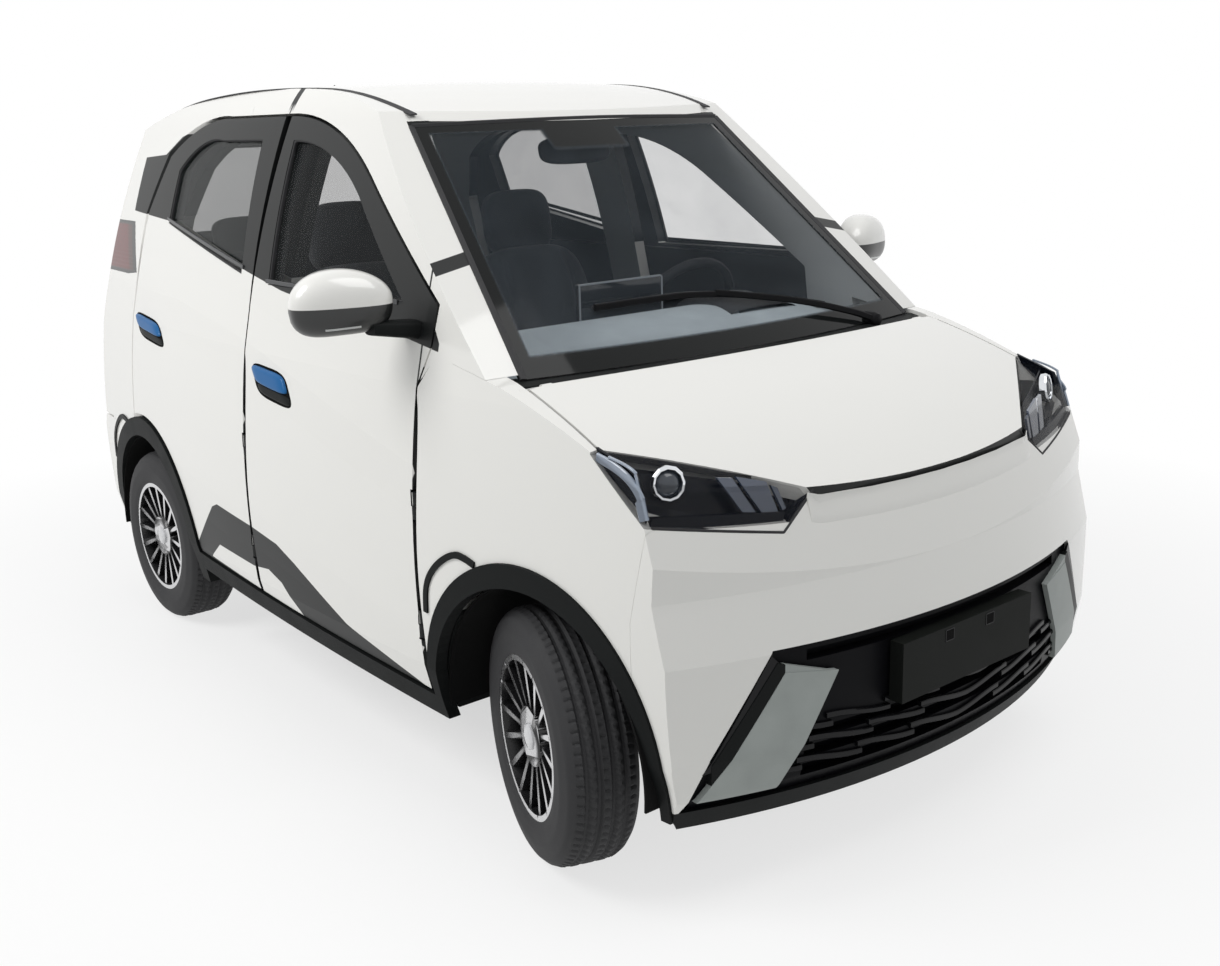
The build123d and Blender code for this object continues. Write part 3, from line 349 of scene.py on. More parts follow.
def crown_skin(line, top, x, y, proud=0.0):
    """Roof or hood: the profile at y, turned about a far axis along the car, so z falls off with x."""
    base = top - CROWN_RADIUS
    z = base + np.sqrt((height_at(line, y) + proud - base) ** 2 - x ** 2)
    return np.stack(np.broadcast_arrays(x, y, z), -1)


def roof_skin(x, y, proud=0.0):
    return crown_skin(ROOF_LINE, ROOF_TOP, x, y, proud)


def hood_skin(x, y, proud=0.0):
    return crown_skin(HOOD_LINE, HOOD_TOP, x, y, proud)


def round_skin(line, axis_y, facing, x, z, proud=0.0):
    """Screen, fascia or tail: the profile at z turned about an upright axis, so y falls back with x."""
    radius = np.abs(axis_y - reach_at(line, z)) + proud
    y = axis_y + facing * np.sqrt(radius ** 2 - x ** 2)
    return np.stack(np.broadcast_arrays(x, y, z), -1)


def screen_skin(x, z, proud=0.0):
    return round_skin(SCREEN_LINE, SCREEN_AXIS_Y, -1.0, x, z, proud)


def fascia_skin(x, z, proud=0.0):
    return round_skin(FASCIA_LINE, FASCIA_Y + FASCIA_RADIUS, -1.0, x, z, proud)


def tail_skin(x, z, proud=0.0):
    return round_skin(TAIL_LINE, TAIL_Y - TAIL_RADIUS, 1.0, x, z, proud)


def nose_skin(x, z, proud=0.0):
    """Nose: a line turned about an axis tilted back; a few steps find the line's point that ends at z."""
    (y0, z0), (y1, z1) = NOSE_LINE
    share = (z - z0) / (z1 - z0) + 0.0 * x
    for _ in range(NOSE_STEPS):
        y_line = y0 + (y1 - y0) * share
        z_line = z0 + (z1 - z0) * share
        ahead = (y_line - NOSE_POINT[0]) * math.cos(NOSE_TILT)
        ahead = ahead + (z_line - NOSE_POINT[1]) * math.sin(NOSE_TILT)
        radius = FASCIA_RADIUS - ahead
        sag = radius - np.sqrt(np.maximum(radius ** 2 - x ** 2, 0.0))
        share = (z - sag * math.sin(NOSE_TILT) - z0) / (z1 - z0)
    return np.stack(np.broadcast_arrays(x, y_line + sag * math.cos(NOSE_TILT) - proud, z), -1)


def slopes(height, first, second):
    """How a height changes along its two coordinates, by small differences."""
    along = height(first + SLOPE_STEP, second) - height(first - SLOPE_STEP, second)
    across = height(first, second + SLOPE_STEP) - height(first, second - SLOPE_STEP)
    return along / (2 * SLOPE_STEP), across / (2 * SLOPE_STEP)


def skin_ways(points):
    """Unit outward ways of every body skin where points lie on it, above it or below it."""
    x, y, z = np.moveaxis(points, -1, 0)
    one = np.ones_like(x)
    ways = []
    along, up = slopes(lambda a, b: side_skin(a, b)[..., 0], y, z)
    for sign in (1.0, -1.0):
        ways.append(np.stack([sign * one, -along, -up], -1))
    for skin in (roof_skin, hood_skin):
        across, along = slopes(lambda a, b: skin(a, b)[..., 2], x, y)
        ways.append(np.stack([-across, -along, one], -1))
    for skin, facing in ((screen_skin, -1.0), (fascia_skin, -1.0), (nose_skin, -1.0), (tail_skin, 1.0)):
        across, up = slopes(lambda a, b: skin(a, b)[..., 1], x, z)
        ways.append(facing * np.stack([-across, one, -up], -1))
    ways = np.nan_to_num(np.stack(ways))
    return ways / np.linalg.norm(ways, axis=-1, keepdims=True)


class Tone:
    """A shader socket that takes Python maths; every expression adds its Math node."""

    def __init__(self, finish, socket):
        self.finish = finish
        self.socket = socket

    def math(self, operation, *values):
        inputs = dict(enumerate(values))
        return self.finish.node("ShaderNodeMath", {"operation": operation}, inputs)

    def __add__(self, other):
        return self.math("ADD", self, other)

    def __sub__(self, other):
        return self.math("SUBTRACT", self, other)

    def __rsub__(self, other):
        return self.math("SUBTRACT", other, self)

    def __mul__(self, other):
        return self.math("MULTIPLY", self, other)

    def __truediv__(self, other):
        return self.math("DIVIDE", self, other)

    __radd__ = __add__
    __rmul__ = __mul__

    def over(self, blur):
        """0 below zero and 1 above it, with a soft step of the given width."""
        return self.finish.node("ShaderNodeClamp", {}, {"Value": self / blur + 0.5})

    def larger(self, other):
        return self.math("MAXIMUM", self, other)

    def smaller(self, other):
        return self.math("MINIMUM", self, other)

    def size(self):
        return self.math("ABSOLUTE", self)

    def root(self):
        return self.math("SQRT", self)

    def sign(self):
        return self.math("SIGN", self)

    def wave(self):
        return self.math("SINE", self)


class Finish:
    """A procedural material: node() adds a node, surface() ends it in one Principled shader."""

    def __init__(self, name):
        self.material = bpy.data.materials.new(name)
        self.material.use_nodes = True
        self.tree = self.material.node_tree
        self.tree.nodes.clear()
        self.axes = None

    def node(self, kind, settings, inputs, output=0):
        made = self.tree.nodes.new(kind)
        for key, value in settings.items():
            if key == "stops":
                ramp = made.color_ramp
                while len(ramp.elements) < len(value):
                    ramp.elements.new(1.0)
                for element, (place, tone) in zip(ramp.elements, value):
                    element.position = place
                    element.color = (tone, tone, tone, 1.0)
            else:
                setattr(made, key, value)
        for key, value in inputs.items():
            self.feed(made.inputs[key], value)
        return Tone(self, made.outputs[output]) if made.outputs else None

    def feed(self, socket, value):
        if isinstance(value, Tone):
            self.tree.links.new(value.socket, socket)
        elif isinstance(value, (tuple, list)) and len(value) == 3 and socket.type == "RGBA":
            socket.default_value = (*value, 1.0)
        else:
            socket.default_value = value

    def place(self):
        return self.node("ShaderNodeTexCoord", {}, {}, "Object")

    def xyz(self):
        """Object coordinates as three numbers, in metres."""
        if self.axes is None:
            vector = self.place()
            self.axes = [self.node("ShaderNodeSeparateXYZ", {}, {"Vector": vector}, name) for name in "XYZ"]
        return self.axes

    def facing(self, axis):
        """One axis of the surface's own normal."""
        normal = self.node("ShaderNodeTexCoord", {}, {}, "Normal")
        return self.node("ShaderNodeSeparateXYZ", {}, {"Vector": normal}, axis)

    def noise(self, scale, detail=2.0):
        return self.node("ShaderNodeTexNoise", {},
                         {"Vector": self.place(), "Scale": scale, "Detail": detail}, 0)

    def line(self, value, points):
        """A profile in millimetres looked up along a coordinate in metres."""
        table = np.array(points, float) * MM
        start, low = table.min(0)
        span, rise = table.max(0) - table.min(0)
        stops = [((u - start) / span, (v - low) / rise) for u, v in table]
        ramp = self.node("ShaderNodeValToRGB", {"stops": stops}, {"Fac": (value - start) / span})
        return ramp * rise + low

    def mix(self, factor, first, second):
        settings = {"data_type": "RGBA"}
        return self.node("ShaderNodeMix", settings, {0: factor, 6: first, 7: second}, 2)

    def bump(self, height, distance, strength=1.0):
        return self.node("ShaderNodeBump", {},
                         {"Height": height, "Distance": distance, "Strength": strength})

    def surface(self, **inputs):
        named = {key.replace("_", " "): value for key, value in inputs.items()}
        shader = self.node("ShaderNodeBsdfPrincipled", {}, named)
        self.node("ShaderNodeOutputMaterial", {}, {"Surface": shader})
        return self.material


def grid_faces(rows, columns, round_rows=False, round_columns=False):
    """Quads of a grid of points, closed round either way where asked."""
    index = np.arange(rows * columns).reshape(rows, columns)
    if round_rows:
        index = np.concatenate([index, index[:1]], 0)
    if round_columns:
        index = np.concatenate([index, index[:, :1]], 1)
    quads = np.stack([index[:-1, :-1], index[1:, :-1], index[1:, 1:], index[:-1, 1:]], -1)
    return quads.reshape(-1, 4)


def finish_mesh(name, points, faces, material, body, sharp=35.0, outward=True):
    """Makes one piece from points in millimetres, turns its faces outwards and lets it ride its body."""
    mesh = bpy.data.meshes.new(name)
    mesh.from_pydata((np.asarray(points).reshape(-1, 3) * MM).tolist(), [], [list(face) for face in faces])
    if outward:
        work = bmesh.new()
        work.from_mesh(mesh)
        bmesh.ops.remove_doubles(work, verts=work.verts, dist=1e-6)
        bmesh.ops.recalc_face_normals(work, faces=work.faces)
        work.to_mesh(mesh)
        work.free()
    mesh.shade_smooth()
    mesh.set_sharp_from_angle(angle=math.radians(sharp))
    mesh.materials.append(material)
    piece = bpy.data.objects.new(name, mesh)
    bpy.context.scene.collection.objects.link(piece)
    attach(piece, body)
    return piece


def closed_grid(name, points, material, body, sharp=35.0):
    """A tube-like grid closed round its second way, with its two ends filled."""
    rows, columns = points.shape[:2]
    faces = [tuple(face) for face in grid_faces(rows, columns, False, True)]
    faces.append(tuple(range(columns)))
    faces.append(tuple(range((rows - 1) * columns, rows * columns)))
    return finish_mesh(name, points, faces, material, body, sharp)


def pad(name, skin, corners, thick, material, body, counts=(24, 8), crown=0.0, sink=1.0):
    """A pad on a skin: a bilinear patch between four corners, raised by thick and crowned in the middle."""
    u = np.linspace(0, 1, counts[0])[:, None]
    v = np.linspace(0, 1, counts[1])[None, :]
    weights = [(1 - u) * (1 - v), u * (1 - v), u * v, (1 - u) * v]
    first = sum(w * c[0] for w, c in zip(weights, corners))
    second = sum(w * c[1] for w, c in zip(weights, corners))
    lift = thick + crown * 16 * u * (1 - u) * v * (1 - v)
    upper = skin(first, second, lift)
    lower = skin(first, second, np.full_like(first, -sink))
    rows, columns = upper.shape[:2]
    faces = [tuple(face) for face in grid_faces(rows, columns)]
    total = rows * columns
    faces += [tuple(total + i for i in face[::-1]) for face in faces]
    index = np.arange(total).reshape(rows, columns)
    rim = np.concatenate([index[:-1, 0], index[-1, :-1], index[:0:-1, -1], index[0, :0:-1]])
    nxt = np.roll(rim, -1)
    faces += list(zip(rim, nxt, nxt + total, rim + total))
    points = np.concatenate([upper.reshape(-1, 3), lower.reshape(-1, 3)])
    return finish_mesh(name, points, faces, material, body)


def ribbon(name, path, outward, profile, material, body, sharp=35.0):
    """A strip along a path: a closed profile of (across, out) carried along it with the given outward way."""
    path = np.asarray(path, float)
    outward = np.broadcast_to(np.asarray(outward, float), path.shape)
    ahead = np.gradient(path, axis=0)
    ahead /= np.linalg.norm(ahead, axis=1, keepdims=True)
    across = np.cross(ahead, outward)
    across /= np.linalg.norm(across, axis=1, keepdims=True)
    out = np.cross(across, ahead)
    profile = np.asarray(profile, float)
    points = path[:, None] + across[:, None] * profile[None, :, :1] + out[:, None] * profile[None, :, 1:]
    return closed_grid(name, points, material, body, sharp)


def flat_profile(wide, low, high, edge=0.3):
    """A strip's section: flat top with its upper corners cut."""
    half = wide / 2
    cut = min(half, high - low) * edge
    return [(-half, low), (half, low), (half, high - cut), (half - cut, high), (cut - half, high),
            (-half, high - cut)]


def smooth_line(points, passes=3):
    """A line with its corners cut again and again, so that it bends evenly; its ends stay."""
    line = np.asarray(points, float)
    for _ in range(passes):
        near = line[:-1] * 0.75 + line[1:] * 0.25
        far = line[:-1] * 0.25 + line[1:] * 0.75
        middle = np.stack([near, far], 1).reshape(-1, line.shape[1])
        line = np.concatenate([line[:1], middle[1:-1], line[-1:]])
    return line


def even_line(points, count):
    """Points spaced evenly along a line."""
    line = np.asarray(points, float)
    length = np.concatenate([[0.0], np.cumsum(np.linalg.norm(np.diff(line, axis=0), axis=1))])
    spot = np.linspace(0.0, length[-1], count)
    return np.stack([np.interp(spot, length, line[:, axis]) for axis in range(line.shape[1])], 1)


def trim_on(name, skin, points, profile, material, body="body", count=48, passes=3):
    """A strip laid along points given in a skin's own two coordinates."""
    line = even_line(smooth_line(points, passes), count)
    path = skin(line[:, 0], line[:, 1], 0.0)
    return ribbon(name, path, normals_of(skin, line[:, 0], line[:, 1]), profile, material, body)


def taper(name, skin, points, wide, low, high, material, body, sharp=35.0):
    """A strip on a skin whose width follows an array, with a four-point section from low to high."""
    ahead = np.gradient(points, axis=0)
    across = np.stack([-ahead[:, 1], ahead[:, 0]], 1) / np.linalg.norm(ahead, axis=1, keepdims=True)
    rims = [points + across * np.asarray(wide)[:, None] / 2 * way for way in (-1.0, 1.0)]
    top = [skin(rim[:, 0], rim[:, 1], high) for rim in rims]
    base = [skin(rim[:, 0], rim[:, 1], low) for rim in rims]
    return closed_grid(name, np.stack([top[0], top[1], base[1], base[0]], 1), material, body, sharp)


def button(name, skin, corners, thick, material, body, square=0.5, sink=1.0, count=(16, 72)):
    """A rounded cap: rings of a squared-off circle over four corners, falling from middle to rim."""
    share = np.concatenate([np.linspace(0.02, 0.9, count[0] - 5), np.linspace(0.93, 1.0, 5)])
    turn = np.linspace(0, 2 * math.pi, count[1], endpoint=False)
    u = (1 + share[:, None] * power_of(np.cos(turn), square)) / 2
    v = (1 + share[:, None] * power_of(np.sin(turn), square)) / 2
    c = np.asarray(corners, float)
    spread = [c[i][None, None, :] for i in range(4)]
    w = [(1 - u) * (1 - v), u * (1 - v), u * v, (1 - u) * v]
    spot = sum(weight[..., None] * corner for weight, corner in zip(w, spread))
    rise = thick * (1 - share ** 6)[:, None] ** 0.5 + 0.0 * u
    cap = skin(spot[..., 0], spot[..., 1], rise)
    foot = skin(spot[-1:, :, 0], spot[-1:, :, 1], -sink + 0.0 * u[-1:])
    return closed_grid(name, np.concatenate([cap, foot]), material, body, 40.0)


def flank(sign):
    """The side skin of one hand as a function of (y, z, proud)."""
    return lambda y, z, proud=0.0: side_skin(y, z, sign, proud)


def lamp_corner(sign):
    """Body side near a headlamp, held back where the nose cuts across it, so nothing passes the lens."""
    def skin(y, z, proud=0.0):
        spot = side_skin(y, z, sign, proud)
        front = nose_skin(spot[..., 0], spot[..., 2], proud)[..., 1]
        spot[..., 1] = np.maximum(spot[..., 1], front)
        return spot
    return skin


def handed(skin, sign):
    """A front or rear skin whose first coordinate is measured towards one hand."""
    return lambda x, z, proud=0.0: skin(sign * x, z, proud)


def upright(y):
    """A flat upright skin that faces forwards at y."""
    return lambda x, z, proud=0.0: np.stack(np.broadcast_arrays(x, y - proud, z), -1)


def between_rows(low, high, share):
    """The corners' points a share of the way from one pair to another."""
    return [tuple(a + (b - a) * share for a, b in zip(p, q)) for p, q in zip(low, high)]


def power_of(value, power):
    """A signed power, which squares off a circle's sine and cosine."""
    return np.sign(value) * np.abs(value) ** power


def cushion(name, centre, half, tilt, material, body, square=0.42, channels=(), crown=0.0,
            count=(72, 96)):
    """A pad: a squared-off ball whose face swells by crown and sinks along sewn channels, tilted about X."""
    rise = np.linspace(-math.pi / 2, math.pi / 2, count[0])[:, None]
    turn = np.linspace(0, 2 * math.pi, count[1], endpoint=False)[None, :]
    x = power_of(np.cos(rise), square) * power_of(np.cos(turn), square) * half[0]
    z = power_of(np.cos(rise), square) * power_of(np.sin(turn), square) * half[2]
    y = power_of(np.sin(rise), square) * half[1] + 0.0 * turn
    face = (1 - (x / half[0]) ** 2) * (1 - (z / half[2]) ** 2)
    y = y + np.sign(rise) * crown * face
    for axis, place, depth, wide in channels:
        line = x if axis == "x" else z
        y = y - np.sign(rise) * depth * np.exp(-((line - place) / wide) ** 2) * np.abs(np.sin(rise))
    points = np.stack([x, y, z], -1)
    lean = np.array([[1, 0, 0], [0, math.cos(tilt), -math.sin(tilt)], [0, math.sin(tilt), math.cos(tilt)]])
    return closed_grid(name, points @ lean.T + np.asarray(centre), material, body, 60.0)


def normals_of(skin, first, second):
    """A skin's outward way along a path, from the difference between two heights over it."""
    way = skin(first, second, 1.0) - skin(first, second, 0.0)
    return way / np.linalg.norm(way, axis=-1, keepdims=True)


def lathe(name, profile, centre, axis, material, body, count=64, sharp=35.0):
    """A turned piece: a profile of (along, radius) carried round an axis through a centre."""
    axis = np.asarray(axis, float) / np.linalg.norm(axis)
    side = np.cross(axis, (0.0, 0.0, 1.0))
    side /= np.linalg.norm(side)
    up = np.cross(side, axis)
    turn = np.linspace(0, 2 * math.pi, count, endpoint=False)
    ring = np.cos(turn)[:, None] * side + np.sin(turn)[:, None] * up
    profile = np.asarray(profile, float)
    points = np.asarray(centre) + profile[:, :1, None] * axis + profile[:, 1:, None] * ring[None]
    return closed_grid(name, points, material, body, sharp)


def mesh_array(items, name, wide, kind=np.float32):
    """One property of a mesh's vertices, corners or faces as an array."""
    values = np.empty(len(items) * wide, kind)
    items.foreach_get(name, values)
    return values.reshape(-1, wide) if wide > 1 else values


def skin_copy(node, material, sharp=25.0):
    """A CAD panel with its triangles merged; a corner is shaded by the skin that its face lies along."""
    mesh = frame["nodes"][node].data.copy()
    work = bmesh.new()
    work.from_mesh(mesh)
    bmesh.ops.remove_doubles(work, verts=work.verts, dist=1e-5)
    work.to_mesh(mesh)
    work.free()
    mesh.materials.clear()
    mesh.materials.append(material)
    mesh.shade_smooth()
    mesh.set_sharp_from_angle(angle=math.radians(sharp))
    corners = mesh_array(mesh.corner_normals, "vector", 3)
    places = mesh_array(mesh.vertices, "co", 3)[mesh_array(mesh.loops, "vertex_index", 1, np.int32)]
    face = np.repeat(np.arange(len(mesh.polygons)), mesh_array(mesh.polygons, "loop_total", 1, np.int32))
    flat = mesh_array(mesh.polygons, "normal", 3)[face]
    middle = mesh_array(mesh.polygons, "center", 3)[face]
    ways = skin_ways((places * 0.97 + middle * 0.03).astype(float) / MM)
    lean = np.einsum("skc,kc->sk", ways, flat)
    best = np.abs(lean).argmax(0)
    pick = np.arange(len(best))
    along = ways[best, pick] * np.sign(lean[best, pick])[:, None]
    close = np.abs(lean[best, pick]) > math.cos(SKIN_ANGLE)
    mesh.normals_split_custom_set(np.where(close[:, None], along, corners).tolist())
    piece = bpy.data.objects.new(node + "_skin", mesh)
    bpy.context.scene.collection.objects.link(piece)
    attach(piece, BODY_OF[node])
    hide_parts(node)
    return piece


def dress(node, material):
    """Gives a CAD node a better material in place."""
    mesh = frame["nodes"][node].data
    mesh.materials.clear()
    mesh.materials.append(material)


def paint(name, colours, band=None, arrow=False, inner=None, edge=False, arch=False):
    """White pearl paint with flake and orange peel; band, sill graphic and lining by place, and black painted
    shade in the door gaps, on the hood's forward faces and in the wheel wells.
    """
    made = Finish(name)
    x, y, z = made.xyz()
    white = made.mix(made.noise(900.0, 3.0), tuple(c * 0.97 for c in colours.white), tuple(colours.white))
    height = made.noise(260.0, 1.0) * 0.00002
    mask = None
    if band:
        mask = (z - made.line(y, BELT)).over(EDGE)
        mask = mask * (y - BAND_FRONT * MM).over(EDGE) * (BAND_BACK * MM - y).over(EDGE)
        fold = (made.line(y, SHOULDER) - z).size().smaller(CREASE_REACH) * -0.10
        height = height + fold + (z - made.line(y, LOW_CREASE)).size().smaller(CREASE_REACH) * -0.05
    if band == "sides":
        mask = mask * (made.line(y, BAND_TOP) - z).over(EDGE)
    if arrow:
        shape = (made.line(y, ARROW) - z).over(EDGE)
        hole = (made.line(y, INSERT_TOP) - z).over(EDGE) * (z - made.line(y, INSERT_LOW)).over(EDGE)
        hole = hole * (y - INSERT_TOP[0][0] * MM).over(EDGE) * (INSERT_TOP[-1][0] * MM - y).over(EDGE)
        span = (y - ARROW[0][0] * MM).over(EDGE) * (ARROW[-1][0] * MM - y).over(EDGE)
        mask = mask.larger(shape * span * (1 - hole))
    if band:
        # Painted shade: a black line down each door gap, and the faces near a gap that turn into it, are
        # painted black
        for y_gap in SHADED_DOOR_GAPS:
            mask = mask.larger((GAP_SHADE_HALF - (y - y_gap * MM).size()).over(EDGE * 0.2))
        turned = (GAP_SHADE_FACING - made.facing("X").size()).over(0.05)
        for y_gap in SHADED_DOOR_GAPS:
            near = (GAP_SHADE_REACH - (y - y_gap * MM).size()).over(EDGE)
            mask = mask.larger(near * turned)
    # Painted shade: faces turned forwards, along the hood's front edge, are painted black
    if edge:
        mask = (made.facing("Y") * -1.0 - 0.82).over(0.06)
    # Painted shade: faces within this radius of a wheel's centre, inside the wheel well, are painted black
    if arch:
        across = y.size() - AXLE_Y * MM
        lift = z - WHEEL_Z * MM
        well_shade = (ARCH_SHADE_RADIUS - (across * across + lift * lift).root()).over(EDGE)
        mask = well_shade if mask is None else mask.larger(well_shade)
    normal = made.bump(height, 1.0, 0.5)
    base = white if mask is None else made.mix(mask, white, tuple(colours.black))
    dull = 0.0 if mask is None else mask
    if inner is not None:
        inward = made.facing("Z") * -1.0 if band is None else made.facing("X") * x.sign() * -1.0
        lining = (inward - 0.35).over(0.1)
        base = made.mix(lining, base, inner)
        dull = lining if mask is None else lining.larger(mask)
    return made.surface(
        Base_Color=base, Roughness=dull * 0.10 + 0.32, Coat_Weight=0.9 - dull * 0.8, Coat_Roughness=0.05,
        Normal=normal,
        Specular_IOR_Level=PAINT_SHINE)


def grained(name, colour, rough=0.5, grain=0.00012, scale=700.0):
    """Moulded plastic: fine leather-like grain with slightly uneven gloss."""
    made = Finish(name)
    cells = made.node("ShaderNodeTexVoronoi", {}, {"Vector": made.place(), "Scale": scale}, "Distance")
    cloud = made.noise(14.0, 4.0)
    base = made.mix(cloud, tuple(c * 0.85 for c in colour), tuple(min(1.0, c * 1.15) for c in colour))
    return made.surface(
        Base_Color=base, Roughness=cloud * 0.16 + (rough - 0.08), Normal=made.bump(cells, grain, 1.0),
        Specular_IOR_Level=TRIM_SHINE)


def blade_grey(name, colours):
    """Silver grey plastic inside the blade's outline and black plastic beside it."""
    made = Finish(name)
    x, _, z = made.xyz()
    cloud = made.noise(14.0, 4.0)
    grey = made.mix(cloud, tuple(c * 0.9 for c in colours.silver), tuple(colours.silver))
    beside = (x.size() - made.line(z, BLADE_EDGE)).over(EDGE)
    return made.surface(
        Base_Color=made.mix(beside, grey, tuple(colours.black)), Roughness=cloud * 0.1 + 0.3,
        Specular_IOR_Level=TRIM_SHINE)


def glossy(name, colour, rough=0.12, coat=1.0):
    """Smooth moulded plastic with a hard gloss and faint ripples."""
    made = Finish(name)
    cloud = made.noise(6.0, 2.0)
    base = made.mix(cloud, tuple(c * 0.92 for c in colour), tuple(colour))
    ripple = made.bump(made.noise(40.0, 1.0), 0.0002, 0.3)
    return made.surface(
        Base_Color=base, Roughness=cloud * 0.05 + rough, Coat_Weight=coat, Normal=ripple,
        Specular_IOR_Level=TRIM_SHINE)


def tinted(name, colour, alpha):
    """Window glass: a dark tint that shows the cabin, more mirror-like at a slant, with a film of dust."""
    made = Finish(name)
    dust = made.noise(5.0, 5.0)
    slant = made.node("ShaderNodeFresnel", {}, {"IOR": 1.45})
    base = made.mix(dust, tuple(colour), tuple(min(1.0, c * 1.6 + 0.01) for c in colour))
    veil = slant * 0.2 + (dust * 0.03 + alpha)
    return made.surface(
        Base_Color=base, Roughness=dust * 0.03 + 0.02, Alpha=veil, IOR=1.5, Coat_Weight=0.2,
        Specular_IOR_Level=0.3)


def screen_pane(colours):
    """Windscreen: clear glass with a black printed border, widest at its foot, and a sensor block."""
    made = Finish("screen_pane")
    x, _, z = made.xyz()
    edge = FRIT_REACH - (z - FRIT_FROM) * FRIT_LEAN
    border = (x.size() - (edge - FRIT_SIDE)).over(FRIT_BLUR)
    border = border.larger((FRIT_FOOT - z).over(FRIT_BLUR)).larger((z - FRIT_HEAD).over(FRIT_BLUR))
    block = (SENSOR_HALF - (x + SENSOR_X).size()).over(SENSOR_BLUR) * (z - SENSOR_LOW).over(SENSOR_BLUR)
    border = border.larger(block)
    streak = made.node("ShaderNodeTexNoise", {},
                       {"Vector": made.place(), "Scale": 2.2, "Detail": 6.0, "Distortion": 2.5})
    slant = made.node("ShaderNodeFresnel", {}, {"IOR": 1.4})
    base = made.mix(border, (0.10, 0.12, 0.14), tuple(colours.black))
    veil = (slant * 0.12 + streak * streak * 0.16).larger(border * 0.97)
    return made.surface(
        Base_Color=base, Roughness=streak * 0.03 + 0.03, Alpha=veil, IOR=1.5, Specular_IOR_Level=0.12)


def rubber(name, colour):
    """Tyre rubber: matt, dusty on the tread, with fine moulding texture."""
    made = Finish(name)
    cloud = made.noise(22.0, 5.0)
    base = made.mix(cloud, tuple(colour), tuple(c * 2.2 for c in colour))
    return made.surface(Base_Color=base, Roughness=cloud * 0.2 + 0.65,
                        Normal=made.bump(made.noise(400.0), 0.0004, 0.5))


def machined(name, colours, turn):
    """Wheel: faces that look outwards are turned bright, the rest is black; the axle lies turn from X."""
    made = Finish(name)
    outward = (made.facing("X") * math.cos(turn) + made.facing("Y") * math.sin(turn)).size()
    bright = (outward - 0.8).over(0.1)
    streak = made.noise(120.0, 4.0)
    base = made.mix(bright, (0.012, 0.012, 0.013), tuple(colours.alloy))
    rough = streak * 0.15 + 0.2
    return made.surface(Base_Color=base, Roughness=rough, Metallic=bright * 0.95)


def machined_plain(name, colour):
    """Bright plated metal with faint ripples."""
    made = Finish(name)
    ripple = made.noise(80.0, 2.0)
    base = made.mix(ripple, tuple(c * 0.9 for c in colour), tuple(colour))
    return made.surface(Base_Color=base, Roughness=ripple * 0.08 + 0.08, Metallic=1.0)


def fabric(name, colour):
    """Seat cloth: a fine woven check with soft sheen."""
    made = Finish(name)
    x, y, z = made.xyz()
    weave = (x * 900.0).wave() * ((y + z) * 900.0).wave()
    cloud = made.noise(9.0, 4.0)
    base = made.mix(cloud, tuple(c * 0.7 for c in colour), tuple(c * 1.3 for c in colour))
    return made.surface(
        Base_Color=base, Roughness=cloud * 0.1 + 0.82, Sheen_Weight=0.25,
        Normal=made.bump(weave, 0.0005, 0.6))


def light_guide(name, colour):
    """A pale light guide behind a clear lens."""
    made = Finish(name)
    cloud = made.noise(60.0, 2.0)
    base = made.mix(cloud, tuple(c * 0.8 for c in colour), tuple(colour))
    return made.surface(Base_Color=base, Roughness=cloud * 0.1 + 0.15, Coat_Weight=1.0)


class HatchbackColours(bpy.types.PropertyGroup):
    """Colours of the car's finishes."""

    white: bpy.props.FloatVectorProperty(
        name="Body white", description="Pearl white of the painted panels", subtype="COLOR",
        default=(0.80, 0.79, 0.755), min=0.0, max=1.0)
    black: bpy.props.FloatVectorProperty(
        name="Trim black", description="Satin black of frames, cladding and grille", subtype="COLOR",
        default=(0.010, 0.011, 0.011), min=0.0, max=1.0)
    silver: bpy.props.FloatVectorProperty(
        name="Blade grey", description="Silver grey of the bumper blades", subtype="COLOR",
        default=(0.36, 0.385, 0.37), min=0.0, max=1.0)
    alloy: bpy.props.FloatVectorProperty(
        name="Alloy", description="Turned metal of the wheels", subtype="COLOR",
        default=(0.66, 0.66, 0.67), min=0.0, max=1.0)
    handle: bpy.props.FloatVectorProperty(
        name="Handle film", description="Blue film on the door handles", subtype="COLOR",
        default=(0.018, 0.125, 0.33), min=0.0, max=1.0)
    dash: bpy.props.FloatVectorProperty(
        name="Dashboard", description="Pale grey-blue of the dashboard top", subtype="COLOR",
        default=(0.34, 0.38, 0.41), min=0.0, max=1.0)
    cloth: bpy.props.FloatVectorProperty(
        name="Seat cloth", description="Dark grey of the seat covers", subtype="COLOR",
        default=(0.055, 0.058, 0.065), min=0.0, max=1.0)


class HatchbackSizes(bpy.types.PropertyGroup):
    """Sizes of the car's trim."""

    seal: bpy.props.FloatProperty(
        name="Seal width", description="Width of the rubber seals round the glass in millimetres",
        default=9.0)
    groove: bpy.props.FloatProperty(
        name="Tread groove", description="Depth of the tyre's tread grooves in millimetres", default=6.0)
    light: bpy.props.FloatProperty(
        name="Key light", description="Power of the key softbox", default=172.0, subtype="POWER")
    sky: bpy.props.FloatProperty(
        name="Sky", description="Strength of the even light from all round", default=0.34)


class PieceOperator:
    """What every piece operator shares."""

    bl_options = {"REGISTER", "UNDO"}

    @property
    def colours(self):
        return bpy.context.scene.hatchback_colours

    @property
    def sizes(self):
        return bpy.context.scene.hatchback_sizes


